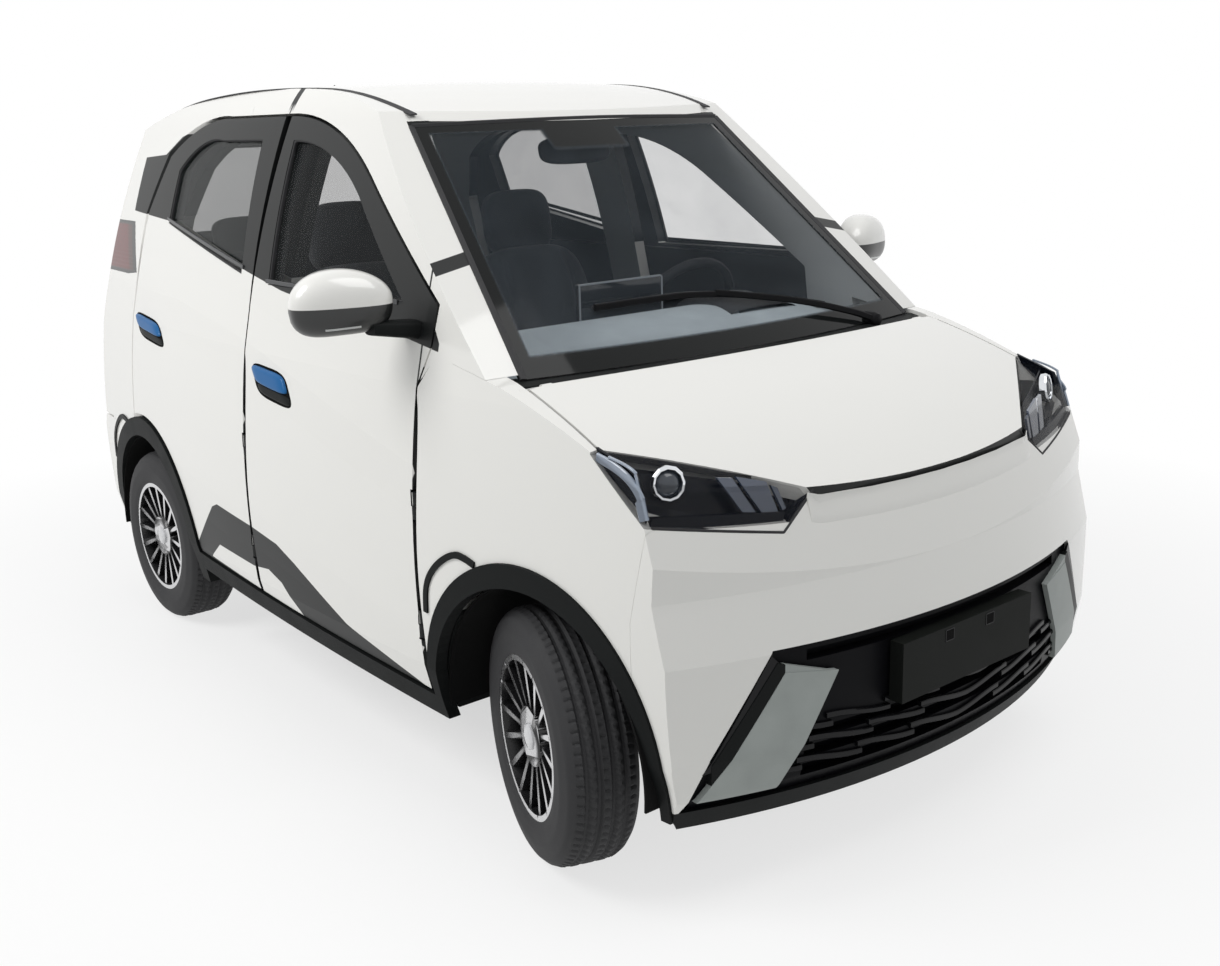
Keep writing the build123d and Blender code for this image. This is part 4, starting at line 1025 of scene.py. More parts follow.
class HATCHBACK_OT_stage(PieceOperator, bpy.types.Operator):
    """Sets the camera, the pale floor and the soft studio light"""

    bl_idname = "hatchback.stage"
    bl_label = "Stage"

    def execute(self, context):
        scene = context.scene
        scene.view_settings.view_transform = "Standard"
        back = Vector((
            math.sin(CAMERA_TURN) * math.cos(CAMERA_TILT), -math.cos(CAMERA_TURN) * math.cos(CAMERA_TILT),
            math.sin(CAMERA_TILT)))
        right = Vector((0, 0, 1)).cross(back).normalized()
        up = back.cross(right)
        level = right * math.cos(CAMERA_ROLL) + up * math.sin(CAMERA_ROLL)
        upright = up * math.cos(CAMERA_ROLL) - right * math.sin(CAMERA_ROLL)
        lens = bpy.data.cameras.new("photo_camera")
        lens.sensor_width = SENSOR
        lens.lens = SENSOR * FOCAL_PIXELS / PHOTO_WIDE
        lens.shift_x = SHIFT_PIXELS[0] / PHOTO_WIDE
        lens.shift_y = SHIFT_PIXELS[1] / PHOTO_WIDE
        camera = bpy.data.objects.new("photo_camera", lens)
        scene.collection.objects.link(camera)
        turn = Matrix((level, upright, back)).transposed().to_4x4()
        camera.matrix_world = Matrix.Translation(CAMERA_PLACE) @ turn
        scene.camera = camera
        self.floor(scene)
        self.lights(scene)
        return {"FINISHED"}

    def floor(self, scene):
        corners = [(-1, -1, 0), (1, -1, 0), (1, 1, 0), (-1, 1, 0)]
        mesh = bpy.data.meshes.new("studio_floor")
        mesh.from_pydata((np.array(corners) * FLOOR_HALF).tolist(), [], [(0, 1, 2, 3)])
        made = Finish("studio_floor")
        x, y, _ = made.xyz()
        base = made.mix(made.noise(0.8, 3.0), (0.88, 0.88, 0.87), (0.91, 0.91, 0.90))
        far = ((x * x + y * y).root() - FLOOR_NEAR).over(FLOOR_FADE)
        rays = [made.node("ShaderNodeLightPath", {}, {}, "Is " + kind + " Ray") for kind in SEEN_RAYS]
        plain = made.node("ShaderNodeBsdfPrincipled", {}, {"Base Color": base, "Roughness": 0.9})
        white = made.node("ShaderNodeEmission", {}, {"Color": (1.0, 1.0, 1.0), "Strength": 1.0})
        share = (far * (1 - FLOOR_WHITE) + FLOOR_WHITE) * rays[0].larger(rays[1]).larger(rays[2])
        blend = made.node("ShaderNodeMixShader", {}, {0: share, 1: plain, 2: white})
        made.node("ShaderNodeOutputMaterial", {}, {"Surface": blend})
        mesh.materials.append(made.material)
        floor = bpy.data.objects.new("studio_floor", mesh)
        scene.collection.objects.link(floor)

    def lights(self, scene):
        world = bpy.data.worlds.new("studio_sky")
        world.use_nodes = True
        tree = world.node_tree
        sky = tree.nodes["Background"]
        sky.inputs["Color"].default_value = (0.94, 0.97, 1.0, 1.0)
        sky.inputs["Strength"].default_value = self.sizes.sky
        seen = tree.nodes.new("ShaderNodeBackground")
        seen.inputs["Color"].default_value = (1.0, 1.0, 1.0, 1.0)
        path = tree.nodes.new("ShaderNodeLightPath")
        share = path.outputs["Is Camera Ray"]
        for kind in SEEN_RAYS[1:]:
            most = tree.nodes.new("ShaderNodeMath")
            most.operation = "MAXIMUM"
            tree.links.new(share, most.inputs[0])
            tree.links.new(path.outputs["Is " + kind + " Ray"], most.inputs[1])
            share = most.outputs[0]
        blend = tree.nodes.new("ShaderNodeMixShader")
        tree.links.new(share, blend.inputs[0])
        tree.links.new(sky.outputs[0], blend.inputs[1])
        tree.links.new(seen.outputs[0], blend.inputs[2])
        tree.links.new(blend.outputs[0], tree.nodes["World Output"].inputs["Surface"])
        scene.world = world
        for name, place, size, share in SOFTBOXES:
            data = bpy.data.lights.new(name, "AREA")
            data.energy = self.sizes.light * share
            data.size = size
            lamp = bpy.data.objects.new(name, data)
            lamp.location = place
            way = Vector(LIGHT_TARGET) - Vector(place)
            lamp.rotation_euler = way.to_track_quat("-Z", "Y").to_euler()
            scene.collection.objects.link(lamp)


class HATCHBACK_OT_panels(PieceOperator, bpy.types.Operator):
    """Paints the panels and gives every other solid its finish"""

    bl_idname = "hatchback.panels"
    bl_label = "Panels and glass"

    def execute(self, context):
        colours = self.colours
        plain = paint("pearl_white", colours, arch=True)
        sides = paint("pearl_white_sides", colours, band="sides", inner=PILLAR_TRIM, arch=True)
        doors = paint("pearl_white_doors", colours, band="doors", arrow=True, inner=DOOR_TRIM)
        trim = grained("black_trim", tuple(colours.black))
        silver = blade_grey("blade_grey", colours)
        glass = {
            "front": tinted("front_side_glass", (0.014, 0.018, 0.020), 0.0),
            "rear": tinted("rear_side_glass", (0.014, 0.018, 0.018), 0.22)}
        for hand, _ in HANDS:
            skin_copy("body_side_" + hand, sides)
            skin_copy("fender_" + hand, plain)
            for row in ("front", "rear"):
                skin_copy(row + "_door_" + hand, doors)
                skin_copy(row + "_glass_" + hand, glass[row])
        skin_copy("roof_panel", paint("pearl_white_roof", colours, inner=PILLAR_TRIM))
        skin_copy("hood", paint("pearl_white_hood", colours, edge=True))
        for node in ("front_bumper", "rear_bumper", "hatch"):
            skin_copy(node, plain)
        skin_copy("windscreen", screen_pane(colours))
        skin_copy("hatch_glass", glass["rear"])
        for node in ("cladding", "front_lip", "cowl", "steering_column"):
            skin_copy(node, trim)
        skin_copy("grille", grained("grille_black", (0.004, 0.004, 0.005), 0.38))
        skin_copy("grille_blades", silver)
        dress("number_plate", grained("plate_blank", (0.008, 0.009, 0.008), 0.45, 0.00005))
        dress("wheel_liners", grained("liner_felt", (0.01, 0.01, 0.01), 0.85))
        steel = grained("chassis_black", (0.03, 0.03, 0.032), 0.55, 0.0002, 300.0)
        for node in ("floor_pan", "firewall", "rear_axle", "front_suspension", "knuckle_left",
                     "knuckle_right"):
            dress(node, steel)
        dress("battery_pack", grained("battery_case", (0.30, 0.31, 0.32), 0.45))
        skin_copy("dashboard", grained("dash_top", tuple(colours.dash), 0.6))
        dress("centre_screen", glossy("tablet_black", (0.008, 0.009, 0.011), 0.1))
        skin_copy("steering_wheel", grained("wheel_leather", (0.02, 0.02, 0.022), 0.55, 0.0002, 500.0))
        return {"FINISHED"}


class HATCHBACK_OT_wheels(PieceOperator, bpy.types.Operator):
    """Makes the treaded tyres, the turned wheels and their hub caps"""

    bl_idname = "hatchback.wheels"
    bl_label = "Wheels"

    def tyre_points(self, count=320, across=64):
        """Section round the axle: bulged walls and a flat tread whose grooves and sipes sink by a depth."""
        half = (TYRE_OUT - TYRE_IN) / 2
        wall = [
            (-half + 3, RIM_R - 2), (-half - 1, RIM_R + 14), (-half - 3, RIM_R + 44),
            (-half + 4, RIM_R + 74),
            (-half + 16, TYRE_R - 8), (-half + 30, TYRE_R - 1.5)]
        tread = [(u, TYRE_R) for u in np.linspace(-half + 34, half - 34, 5)]
        outline = np.array(wall + tread + [(-u, r) for u, r in wall[::-1]])
        length = np.concatenate([[0], np.cumsum(np.linalg.norm(np.diff(outline, axis=0), axis=1))])
        spot = np.linspace(0, length[-1], across)
        along = np.interp(spot, length, outline[:, 0])
        radius = np.interp(spot, length, outline[:, 1])
        turn = np.linspace(0, 2 * math.pi, count, endpoint=False)[:, None]
        near = np.abs(along[None, :, None] - np.array(GROOVES)).min(-1)
        groove = np.clip((GROOVE_HALF - near) / 1.5, 0, 1)
        skew = turn * 80 + np.abs(along[None]) * 0.09
        sipe = (np.sin(skew) > 0.86) * (radius[None] > TYRE_R - 7) * 0.6
        depth = self.sizes.groove * np.maximum(groove * (radius[None] > TYRE_R - 2), sipe)
        reach = radius[None] - depth
        return along, turn, reach

    def execute(self, context):
        colours = self.colours
        black = rubber("tyre_rubber", (0.011, 0.011, 0.012))
        along, turn, reach = self.tyre_points()
        middle = (TYRE_IN + TYRE_OUT) / 2
        for row, y in (("front", -AXLE_Y), ("rear", AXLE_Y)):
            rest = -STEER_REST if row == "front" else 0.0
            metal = machined("turned_alloy_" + row, colours, rest)
            cap = glossy("hub_cap_" + row, tuple(colours.alloy), 0.2)
            for hand, sign in HANDS:
                body = row + "_wheel_" + hand
                node = row + "_" + hand
                pivot = np.array([sign * (KINGPIN_X if row == "front" else middle), y, WHEEL_Z])
                lead = sign * (middle - abs(pivot[0]))
                local = np.stack(np.broadcast_arrays(
                    lead + along[None], reach * np.cos(turn), reach * np.sin(turn)), -1)
                spin = np.array([
                    [math.cos(rest), -math.sin(rest), 0], [math.sin(rest), math.cos(rest), 0], [0, 0, 1]])
                points = local @ spin.T + pivot
                faces = grid_faces(*points.shape[:2], True, True)
                tyre = finish_mesh("tread_tyre_" + node, points, faces, black, body, 30.0)
                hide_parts("tyre_" + node)
                skin_copy("wheel_" + node, metal)
                axle = spin @ np.array([sign, 0.0, 0.0])
                out = HUB_OUT - abs(pivot[0])
                dome = [(out + step, radius) for step, radius in HUB_DOME]
                lathe("hub_cap_" + node, dome, pivot, axle, cap, body)
        return {"FINISHED"}


class HATCHBACK_OT_mirrors(PieceOperator, bpy.types.Operator):
    """Makes the door mirrors: white caps over black lower shells on black arms"""

    bl_idname = "hatchback.mirrors"
    bl_label = "Door mirrors"

    def shell(self, sign, rows=56, columns=72):
        """Housing: oval sections, each swollen by a superellipse and flatter on the glass side."""
        share = np.linspace(-0.998, 0.998, rows)[:, None]
        turn = np.linspace(0, 2 * math.pi, columns, endpoint=False)[None, :]
        inner, outer = np.array(MIRROR_INNER), np.array(MIRROR_OUTER)
        middle = (inner + outer) / 2 + (outer - inner) / 2 * share[..., None]
        along = (outer - inner) / np.linalg.norm(outer - inner)
        ahead = np.cross((0.0, 0.0, 1.0), along)
        ahead = -ahead * np.sign(ahead[1])
        swell = (1 - np.abs(share) ** 2.6) ** (1 / 2.6)
        dome = (1 - np.abs(share - 0.12 * (1 - share ** 2)) ** 2.1) ** (1 / 2.1)
        keel = (1 - np.abs(share) ** 4.0) ** (1 / 2.4)
        lean = np.cos(turn)
        reach = np.where(lean > 0, MIRROR_AHEAD * power_of(lean, 0.9),
                         MIRROR_BEHIND * power_of(lean, 0.45)) * swell
        lift = power_of(np.sin(turn), 0.82)
        rise = np.where(lift > 0, MIRROR_HIGH * lift * dome, MIRROR_DEEP * lift * keel)
        points = middle + reach[..., None] * ahead + rise[..., None] * np.array([0.0, 0.0, 1.0])
        return points * np.array([sign, 1.0, 1.0])

    def arm(self, sign, rows=24, columns=40):
        """Arm: oval sections from the door's corner out to the shell, thinner towards the shell."""
        share = np.linspace(0, 1, rows)[:, None]
        turn = np.linspace(0, 2 * math.pi, columns, endpoint=False)[None, :]
        x = MIRROR_FOOT[0] + (MIRROR_INNER[0] + 60 - MIRROR_FOOT[0]) * share + 0.0 * turn
        y = MIRROR_FOOT[1] + (34 - 12 * share) * power_of(np.cos(turn), 0.6)
        z = MIRROR_FOOT[2] + 14 * share + (21 - 6 * share) * power_of(np.sin(turn), 0.6)
        return np.stack([sign * x, y, z], -1)

    def execute(self, context):
        made = Finish("mirror_shell")
        _, _, z = made.xyz()
        cap = (z - MIRROR_SPLIT * MM).over(EDGE)
        white = made.mix(made.noise(900.0, 3.0), tuple(c * 0.97 for c in self.colours.white),
                         tuple(self.colours.white))
        base = made.mix(cap, tuple(self.colours.black), white)
        shell_paint = made.surface(Base_Color=base, Roughness=0.36 - cap * 0.04,
                                   Coat_Weight=cap * 0.6 + 0.3)
        trim = grained("mirror_arm_black", tuple(self.colours.black))
        pale = light_guide("repeater_lens", (0.55, 0.56, 0.55))
        silver = glossy("mirror_glass", (0.30, 0.32, 0.34), 0.03)
        for hand, sign in HANDS:
            body = "front_door_" + hand
            shell = closed_grid("mirror_shell_" + hand, self.shell(sign), shell_paint, body, 50.0)
            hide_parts("mirror_" + hand)
            closed_grid("mirror_arm_" + hand, self.arm(sign), trim, body, 50.0)
            points = self.shell(sign, 57, 72)
            low = points[20:40, 64]
            ahead = (sign * 0.2, -0.9, 0.2)
            ribbon("mirror_repeater_" + hand, low, ahead, flat_profile(5, -1, 1.5), pale, body)
            glass = points[8:49, 30:43]
            behind = glass + np.array([0.0, 1.2, 0.0])
            faces = grid_faces(*behind.shape[:2])
            finish_mesh("mirror_glass_" + hand, behind, faces, silver, body, outward=False)
        return {"FINISHED"}


class HATCHBACK_OT_lamps(PieceOperator, bpy.types.Operator):
    """Fills the headlamps behind clear lenses and finishes the tail lamps"""

    bl_idname = "hatchback.lamps"
    bl_label = "Lamps"

    def tail_lens(self):
        """Red lens with fine ribs, amber at its front and a black frame along its edges."""
        made = Finish("tail_lens")
        _, y, z = made.xyz()
        front = y - ((z - TAIL_FRONT[1]) * TAIL_FRONT[2] + TAIL_FRONT[0])
        ahead, low, high = TAIL_FRAME
        frame = (ahead - front).over(0.004).larger((z - high).over(0.003)).larger((low - z).over(0.003))
        amber = (TAIL_AMBER - front).over(0.02)
        ribs = (z * 520.0).wave()
        lens = made.mix(amber, (0.11, 0.007, 0.006), (0.05, 0.012, 0.006))
        base = made.mix(frame, lens, tuple(self.colours.black))
        return made.surface(
            Base_Color=base, Roughness=0.10, Coat_Weight=0.3, Normal=made.bump(ribs, 0.0008, 0.6),
            Specular_IOR_Level=0.2)

    def execute(self, context):
        skin_copy("tail_lamps", self.tail_lens())
        skin_copy("headlamps", tinted("lamp_lens", (0.004, 0.006, 0.012), 0.14))
        bowl = glossy("lamp_bowl", (0.003, 0.004, 0.007), 0.22, 0.15)
        # Pale blue guide: partly the guide's own colour, partly painted reflection along the lamp's outer
        # edge
        pale = light_guide("lamp_guide", (0.26, 0.31, 0.39))
        blue = light_guide("lamp_fin", (0.050, 0.068, 0.110))
        chrome = machined_plain("lamp_chrome", (0.75, 0.77, 0.80))
        crystal = glossy("lamp_crystal", (0.05, 0.06, 0.075), 0.03)
        seal = rubber("lamp_seal", SEAL_BLACK)
        for hand, sign in HANDS:
            nose = handed(nose_skin, sign)
            side = lamp_corner(sign)
            pad("lamp_bowl_" + hand, nose, LAMP_BOWL, -44.0, bowl, "body", (40, 16), sink=48.0)
            trim_on("lamp_guide_" + hand, side, LAMP_GUIDE, flat_profile(18, -8, -3), pale, "body",
                    40)
            pad("lamp_back_" + hand, side, LAMP_BACK, -10.0, bowl, "body", (30, 8), sink=16.0)
            trim_on("lamp_wall_" + hand, nose, LAMP_WALL, flat_profile(4, -46, -2.5), bowl, "body",
                    100, passes=0)
            trim_on("lamp_guide_line_" + hand, side, LAMP_GUIDE_LINE, flat_profile(4, -8, -3), pale, "body",
                    40)
            for index, corners in enumerate(LAMP_FINS):
                pad("lamp_fin_%d_%s" % (index, hand), nose, corners, -10.0, blue, "body", (10, 14),
                    sink=16.0)
            pad("lamp_sill_" + hand, nose, LAMP_SILL, -8.0, bowl, "body", (40, 6), sink=20.0)
            spot = nose(*LAMP_EYE, -LAMP_EYE_DEEP)
            way = np.array(LAMP_EYE_WAY) * (sign, 1.0, 1.0)
            lathe("lamp_ring_" + hand, LAMP_RING, spot, way, chrome, "body", 12, 20.0)
            lathe("lamp_eye_" + hand, LAMP_DOME, spot, way, crystal, "body", 48)
            trim_on("lamp_edge_" + hand, nose, LAMP_EDGE, flat_profile(6, -6, 0.6), seal, "body",
                    120, passes=0)
        return {"FINISHED"}


class HATCHBACK_OT_front(PieceOperator, bpy.types.Operator):
    """Adds the grille's waved slats, plate slots, the bumper's edge, blade faces and black strips of painted
    shade in the hood's gaps
    """

    bl_idname = "hatchback.front"
    bl_label = "Front trim"

    def execute(self, context):
        slat = glossy("slat_black", (0.006, 0.006, 0.007), 0.24, 0.25)
        silver = grained("blade_face_grey", tuple(self.colours.silver), 0.35, 0.00004)
        white = paint("bumper_edge_white", self.colours)
        dark = grained("slot_black", (0.003, 0.003, 0.003), 0.8)
        # Painted shade: black strips sunk in the hood's front and side gaps
        seal = rubber("hood_gap_shade", SEAL_BLACK)
        for row, (z, reach) in enumerate(SLAT_ROWS):
            starts = np.arange(-reach, reach - SLAT_LONG * 0.5, SLAT_LONG)
            for index, start in enumerate(starts):
                share = np.linspace(0, 1, 14)
                x = start + share * SLAT_LONG * 1.1
                wave = z + SLAT_WAVE * np.sin((share - 0.5) * math.pi) * np.sign(x.mean() + 0.1)
                line = np.stack([x, wave], 1)
                trim_on("grille_slat_%d_%d" % (row, index), fascia_skin, line, flat_profile(11, -14, -3),
                        slat, "body",
                        14, passes=0)
        for index, x in enumerate(PLATE_SLOTS):
            left, right = x - SLOT_HALF, x + SLOT_HALF
            corners = [(left, SLOT_LOW), (right, SLOT_LOW), (right, SLOT_HIGH), (left, SLOT_HIGH)]
            flat = upright(PLATE_Y)
            pad("plate_slot_%d" % index, flat, corners, 0.5, dark, "body", (4, 4))
            rim = corners + corners[:1]
            trim_on("plate_slot_rim_%d" % index, flat, rim, flat_profile(2.5, -0.5, 0.9), slat, count=40,
                    passes=0)
        rows = np.linspace(-HOOD_LIP_HALF, HOOD_LIP_HALF, 90)
        edge_y = np.interp(np.abs(rows), HOOD_EDGE[0], HOOD_EDGE[1])
        edge_z = hood_skin(rows, edge_y)[:, 2]
        nose_part = [nose_skin(rows, edge_z + drop, proud) for drop, proud in HOOD_LIP_NOSE]
        back_part = [np.stack([rows, edge_y + shift, edge_z + drop], 1) for shift, drop in HOOD_LIP_BACK]
        closed_grid("bumper_top_edge", np.stack(nose_part + back_part, 1), white, "body", 50.0)
        for hand, sign in HANDS:
            face = handed(fascia_skin, sign)
            pad("blade_wedge_" + hand, face, BLADE_WEDGE, 1.2, slat, "body", (10, 30),
                sink=3.0)
            pad("blade_face_" + hand, face, BLADE_FACE, 4.0, silver, "body", (20, 40),
                sink=8.0)
        trim_on("hood_front_gap_shade", hood_skin, HOOD_FRONT_GAP_SHADE, flat_profile(5, -14, -2), seal, count=90,
                passes=2)
        for hand, sign in HANDS:
            edge = [(sign * x, y) for x, y in HOOD_SIDE_GAP_SHADE]
            trim_on("hood_side_seal_" + hand, hood_skin, edge, flat_profile(5, -14, -5), seal, count=20)
        return {"FINISHED"}


class HATCHBACK_OT_sides(PieceOperator, bpy.types.Operator):
    """Adds door handles on black patches of painted shade, window seals, belt strips and the black loops on
    the arches
    """

    bl_idname = "hatchback.sides"
    bl_label = "Side trim"

    def execute(self, context):
        film = glossy("handle_film", tuple(self.colours.handle), 0.3, 0.15)
        black = grained("handle_black", tuple(self.colours.black), 0.4)
        # Painted shade: a matt black patch round each handle, under its lip and film
        shade_patch = grained("handle_shade_patch", (0.004, 0.004, 0.004), 0.8)
        seal = rubber("window_seal", RUBBER_BLACK)
        strip = glossy("belt_strip", (0.06, 0.062, 0.065), 0.2, 0.4)
        for hand, sign in HANDS:
            side = flank(sign)
            for row, (low, high) in HANDLES.items():
                body = row + "_door_" + hand
                split = between_rows(low, high, HANDLE_SPLIT)
                corners = zip([*low, *high[::-1]], HANDLE_SHADE_GROW)
                ring = [(y + along, z + up) for (y, z), (along, up) in corners]
                button("handle_pocket_%s_%s" % (row, hand), side, ring, 0.9, shade_patch, body,
                       0.5)
                button("handle_lip_%s_%s" % (row, hand), side, [*low, *split[::-1]], 5.0, black, body,
                       0.5)
                button("handle_film_%s_%s" % (row, hand), side, [*split, *high[::-1]], 11.0, film, body,
                       0.45)
            for row, outline in WINDOWS.items():
                body = row + "_door_" + hand
                ring = even_line(dense(outline + [outline[0]]), 160)
                trim_on("window_seal_%s_%s" % (row, hand), side, ring,
                        flat_profile(self.sizes.seal, -10, -2), seal, body,
                        140, passes=1)
                trim_on("belt_strip_%s_%s" % (row, hand), side, BELT_STRIPS[row], flat_profile(11, -1, 3),
                        strip, body,
                        40)
            for row, shift in ARCH_LOOP_SHIFTS.items():
                line = even_line(smooth_line(np.array(ARCH_LOOP) + (shift, 0.0), 3), 48)
                taper("arch_loop_%s_%s" % (row, hand), side, line, np.full(48, ARCH_LOOP_WIDE), -1.0, 4.5,
                      black, "body")
        return {"FINISHED"}


class HATCHBACK_OT_roof(PieceOperator, bpy.types.Operator):
    """Adds the roof's ditch strips, the aerial, the windscreen's moulding and the wiper"""

    bl_idname = "hatchback.roof"
    bl_label = "Roof and screen trim"

    def execute(self, context):
        seal = rubber("ditch_rubber", RUBBER_BLACK)
        arm = grained("wiper_black", (0.008, 0.008, 0.009), 0.45)
        for hand, sign in HANDS:
            ditch = even_line(smooth_line([(sign * x, y) for x, y in DITCH], 3), 90)
            wide = np.interp(ditch[:, 1], DITCH_WIDE[0], DITCH_WIDE[1])
            taper("roof_ditch_" + hand, roof_skin, ditch, wide, -2.0, 1.2, seal, "body")
            edge = [(sign * x, z) for x, z in SCREEN_EDGE]
            trim_on("screen_edge_" + hand, screen_skin, edge, flat_profile(15, -3, 2.5), seal, count=40)
        trim_on("screen_head", screen_skin, SCREEN_HEAD, flat_profile(13, -3, 2.0), seal, count=60)
        foot = roof_skin(np.array(0.0), np.array(AERIAL_Y))
        lathe("roof_aerial", AERIAL_STUB, foot, AERIAL_WAY, arm, "body", 32)
        blade = smooth_line(WIPER_BLADE, 3)
        trim_on("wiper_rubber", screen_skin, blade, flat_profile(5, 0.5, 10), seal, count=60, passes=0)
        trim_on("wiper_blade", screen_skin, blade, flat_profile(14, 8, 18), arm, count=60, passes=0)
        line = even_line(smooth_line(WIPER_ARM, 3), 50)
        lift = 18 + 14 * np.sin(np.linspace(0, math.pi, 50))
        path = screen_skin(line[:, 0], line[:, 1], lift)
        way = normals_of(screen_skin, line[:, 0], line[:, 1])
        ribbon("wiper_arm", path, way, flat_profile(15, -5, 5), arm, "body")
        pivot = screen_skin(np.array(WIPER_ARM[0][0]), np.array(WIPER_ARM[0][1]), 2.0)
        lathe("wiper_pivot", WIPER_KNOB, pivot, way[0], arm, "body", 32)
        return {"FINISHED"}


class HATCHBACK_OT_tail(PieceOperator, bpy.types.Operator):
    """Finishes the tail: garnish, blank plate, handle, stop lamp, rear wiper, reflectors and lower valance"""

    bl_idname = "hatchback.tail"
    bl_label = "Tail trim"

    def execute(self, context):
        black = grained("tail_black", tuple(self.colours.black), 0.45)
        gloss = glossy("garnish_black", (0.010, 0.010, 0.011), 0.12)
        red = light_guide("reflector_red", (0.35, 0.012, 0.012))
        blank = grained("rear_plate_blank", (0.16, 0.16, 0.165), 0.5, 0.00005)
        seal = rubber("rear_glass_seal", RUBBER_BLACK)
        pad("tail_garnish", tail_skin, GARNISH, 3.5, gloss, "hatch", (60, 10), 2.0)
        pad("plate_recess", tail_skin, PLATE_RECESS, 0.8, black, "hatch", (40, 12))
        pad("rear_plate", tail_skin, REAR_PLATE, 5.0, blank, "hatch", (30, 10))
        pad("hatch_handle", tail_skin, HATCH_HANDLE, 9.0, gloss, "hatch", (30, 8), 4.0)
        trim_on("rear_glass_seal", tail_skin, REAR_WINDOW, flat_profile(14, -10, 1.0), seal, "hatch",
                count=140, passes=1)
        trim_on("stop_lamp", tail_skin, STOP_LAMP, flat_profile(12, -2, 5), red, "hatch", 24)
        trim_on("rear_wiper_blade", tail_skin, REAR_WIPER_BLADE, flat_profile(10, -8, 4), black, "hatch",
                count=30)
        trim_on("rear_wiper_arm", tail_skin, REAR_WIPER_ARM, flat_profile(14, 2, 12), black, "hatch",
                count=24)
        spot = tail_skin(np.array(float(REAR_WIPER_ARM[0][0])), np.array(float(REAR_WIPER_ARM[0][1])), 2.0)
        lathe("rear_wiper_pivot", REAR_WIPER_KNOB, spot, REAR_WIPER_WAY, black, "hatch", 32)
        pad("rear_valance", tail_skin, VALANCE, 2.5, black, "body", (60, 10))
        for hand, sign in HANDS:
            bar = [(sign * x, z) for x, z in REFLECTOR]
            trim_on("rear_reflector_" + hand, tail_skin, bar, flat_profile(34, -2, 4), red, "body",
                    24)
        return {"FINISHED"}


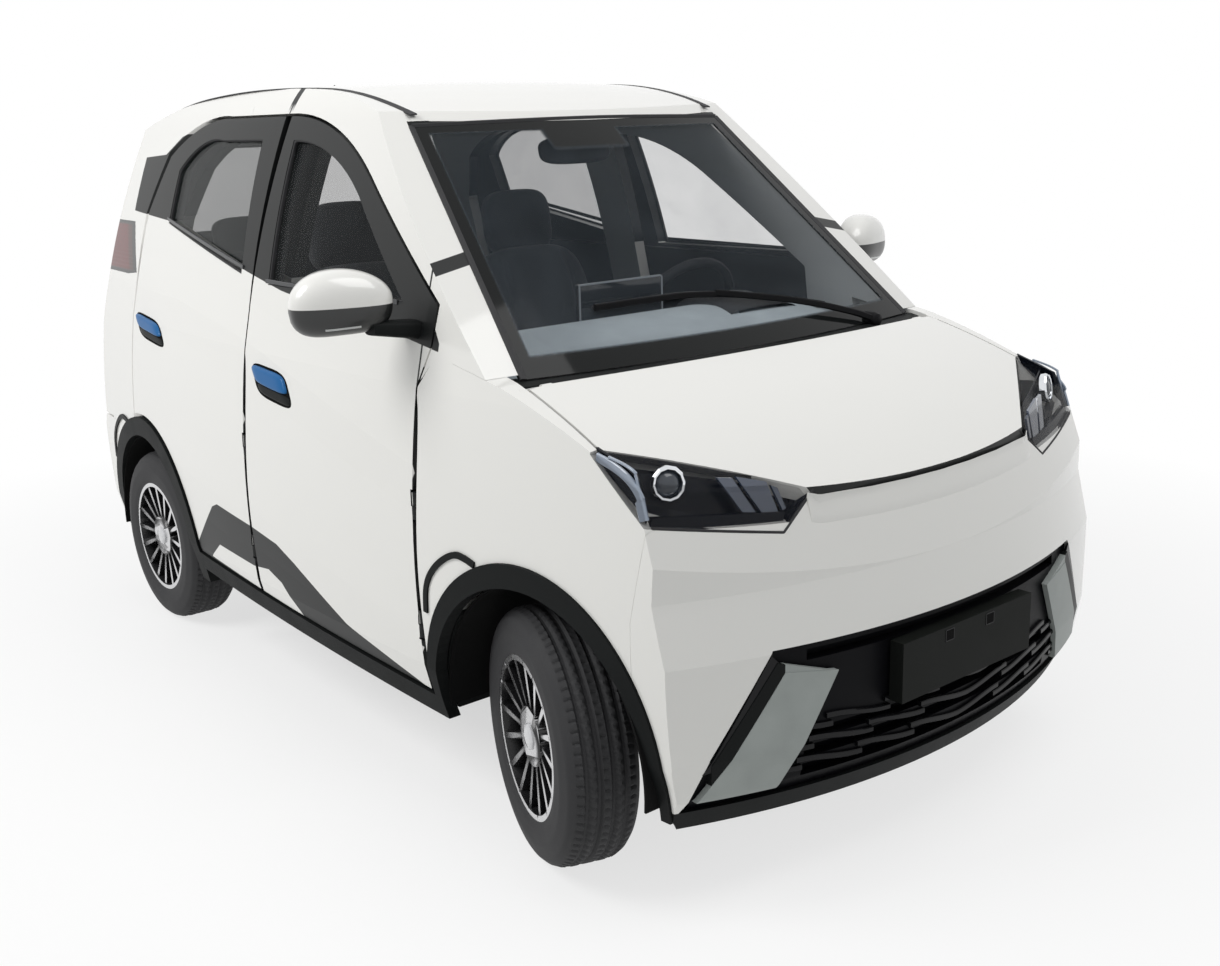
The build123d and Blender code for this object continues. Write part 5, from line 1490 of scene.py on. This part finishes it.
class HATCHBACK_OT_cabin(PieceOperator, bpy.types.Operator):
    """Pads the seats and adds the dash pad, the tablet's edge, the inner mirror and the instrument hood"""

    bl_idname = "hatchback.cabin"
    bl_label = "Cabin"

    def stuffed(self, name, form, material, slot="seat_cloth", channels=(), sign=1.0):
        """A cushion from its row of named values, on one hand of the car."""
        centre, half, tilt, square, crown = form
        place = (sign * centre[0], *centre[1:])
        return cushion(name, place, half, math.radians(tilt), material, "body", square, channels,
                       crown)

    def seat(self, sign, hand, cloth, side_cloth):
        base = self.stuffed("seat_cushion_" + hand, SEAT_BASE, cloth, channels=SEAT_RIBS + SEAT_ROWS,
                            sign=sign)
        back = self.stuffed("seat_back_" + hand, SEAT_BACK, cloth, channels=SEAT_RIBS + BACK_ROWS,
                            sign=sign)
        head = self.stuffed("seat_head_" + hand, SEAT_HEAD, side_cloth, sign=sign)
        return base

    def hood(self):
        """Instrument hood: half rings that rise and draw in from the wheel side to the screen side."""
        share = np.linspace(0, 1, 24)[:, None]
        turn = np.linspace(0, math.pi, 40)[None, :]
        wide = POD_HALF[0] + (POD_HALF[1] - POD_HALF[0]) * share
        tall = POD_TALL[0] + (POD_TALL[1] - POD_TALL[0]) * share
        x = POD_PLACE[0] + wide * power_of(np.cos(turn), 0.6)
        z = POD_PLACE[2] + tall * power_of(np.sin(turn), 0.6)
        y = POD_PLACE[1] - POD_LONG * share + POD_BULGE * np.sin(turn) * (1 - share)
        outer = np.stack(np.broadcast_arrays(x, y, z), -1)
        middle = np.array([POD_PLACE[0], 0.0, POD_PLACE[2] - 4.0])
        inner = outer + (middle - outer) * np.array([0.10, 0.0, 0.10])
        return np.concatenate([outer, inner[:, ::-1]], 1)

    def dash_top(self):
        """Dash pad: one rounded profile in Y and Z carried across the car, sinking towards both ends."""
        loop = np.array(smooth_line(DASH_PAD + DASH_PAD[:1], 3))[:-1]
        x = np.linspace(-DASH_PAD_HALF, DASH_PAD_HALF, 80)[:, None]
        sink = 1.0 - 0.6 * (np.abs(x) / DASH_PAD_HALF) ** 10
        z = DASH_PAD_FOOT + (loop[None, :, 1] - DASH_PAD_FOOT) * sink
        return np.stack(np.broadcast_arrays(x, loop[None, :, 0], z), -1)

    def execute(self, context):
        colours = self.colours
        cloth = fabric("seat_cloth", tuple(colours.cloth))
        plain = fabric("seat_bolster", tuple(c * 0.8 for c in colours.cloth))
        dark = grained("cabin_black", (0.018, 0.019, 0.021), 0.5)
        pale = grained("cabin_pale", DASH_TONE, 0.7)
        closed_grid("dash_pad", self.dash_top(), pale, "body", 50.0)
        edge = glossy("tablet_edge", (0.30, 0.32, 0.34), 0.25, 0.2)
        base = None
        for hand, sign in HANDS:
            base = self.seat(sign, hand, cloth, plain)
        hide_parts("front_seats")
        for hand, sign in HANDS:
            self.stuffed("seat_frame_" + hand, SEAT_FRAME, dark, "black_trim", sign=sign)
        bench = self.stuffed("bench_cushion", BENCH_BASE, cloth, channels=BENCH_RIBS)
        rest = self.stuffed("bench_back", BENCH_BACK, cloth, channels=BENCH_RIBS)
        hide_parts("rear_seat")
        for hand, sign in HANDS:
            head = self.stuffed("bench_head_" + hand, BENCH_HEAD, plain, sign=sign)
        rim = even_line(TABLET_RIM, 120)
        flat = upright(TABLET_Y)
        trim_on("tablet_edge", flat, rim, flat_profile(5, -1, 1.5), edge, count=120,
                passes=0)
        self.stuffed("inner_mirror", INNER_MIRROR, dark, "black_trim")
        pod = self.hood()
        faces = grid_faces(*pod.shape[:2], False, True)
        finish_mesh("instrument_hood", pod, faces, dark, "body", 50.0)
        return {"FINISHED"}


class HATCHBACK_PT_panel(bpy.types.Panel):
    """Lists the car's pieces in the 3D view's sidebar"""

    bl_idname = "HATCHBACK_PT_panel"
    bl_label = "Hatchback"
    bl_space_type = "VIEW_3D"
    bl_region_type = "UI"
    bl_category = "Hatchback"

    def draw(self, context):
        for group in (context.scene.hatchback_colours, context.scene.hatchback_sizes):
            for name in group.bl_rna.properties.keys():
                if name not in ("rna_type", "name"):
                    self.layout.prop(group, name)
        for operator in PIECES:
            self.layout.operator(operator.bl_idname)


PIECES = (
    HATCHBACK_OT_stage, HATCHBACK_OT_panels, HATCHBACK_OT_wheels, HATCHBACK_OT_mirrors, HATCHBACK_OT_lamps,
    HATCHBACK_OT_front, HATCHBACK_OT_sides, HATCHBACK_OT_roof, HATCHBACK_OT_tail, HATCHBACK_OT_cabin)
CLASSES = (HatchbackColours, HatchbackSizes, *PIECES, HATCHBACK_PT_panel)


def register():
    for made in CLASSES:
        bpy.utils.register_class(made)
    bpy.types.Scene.hatchback_colours = bpy.props.PointerProperty(type=HatchbackColours)
    bpy.types.Scene.hatchback_sizes = bpy.props.PointerProperty(type=HatchbackSizes)


def unregister():
    del bpy.types.Scene.hatchback_sizes
    del bpy.types.Scene.hatchback_colours
    for made in reversed(CLASSES):
        bpy.utils.unregister_class(made)


def main():
    register()
    bpy.ops.hatchback.stage()
    bpy.ops.hatchback.panels()
    bpy.ops.hatchback.wheels()
    bpy.ops.hatchback.mirrors()
    bpy.ops.hatchback.lamps()
    bpy.ops.hatchback.front()
    bpy.ops.hatchback.sides()
    bpy.ops.hatchback.roof()
    bpy.ops.hatchback.tail()
    bpy.ops.hatchback.cabin()


if __name__ == "__main__":
    main()
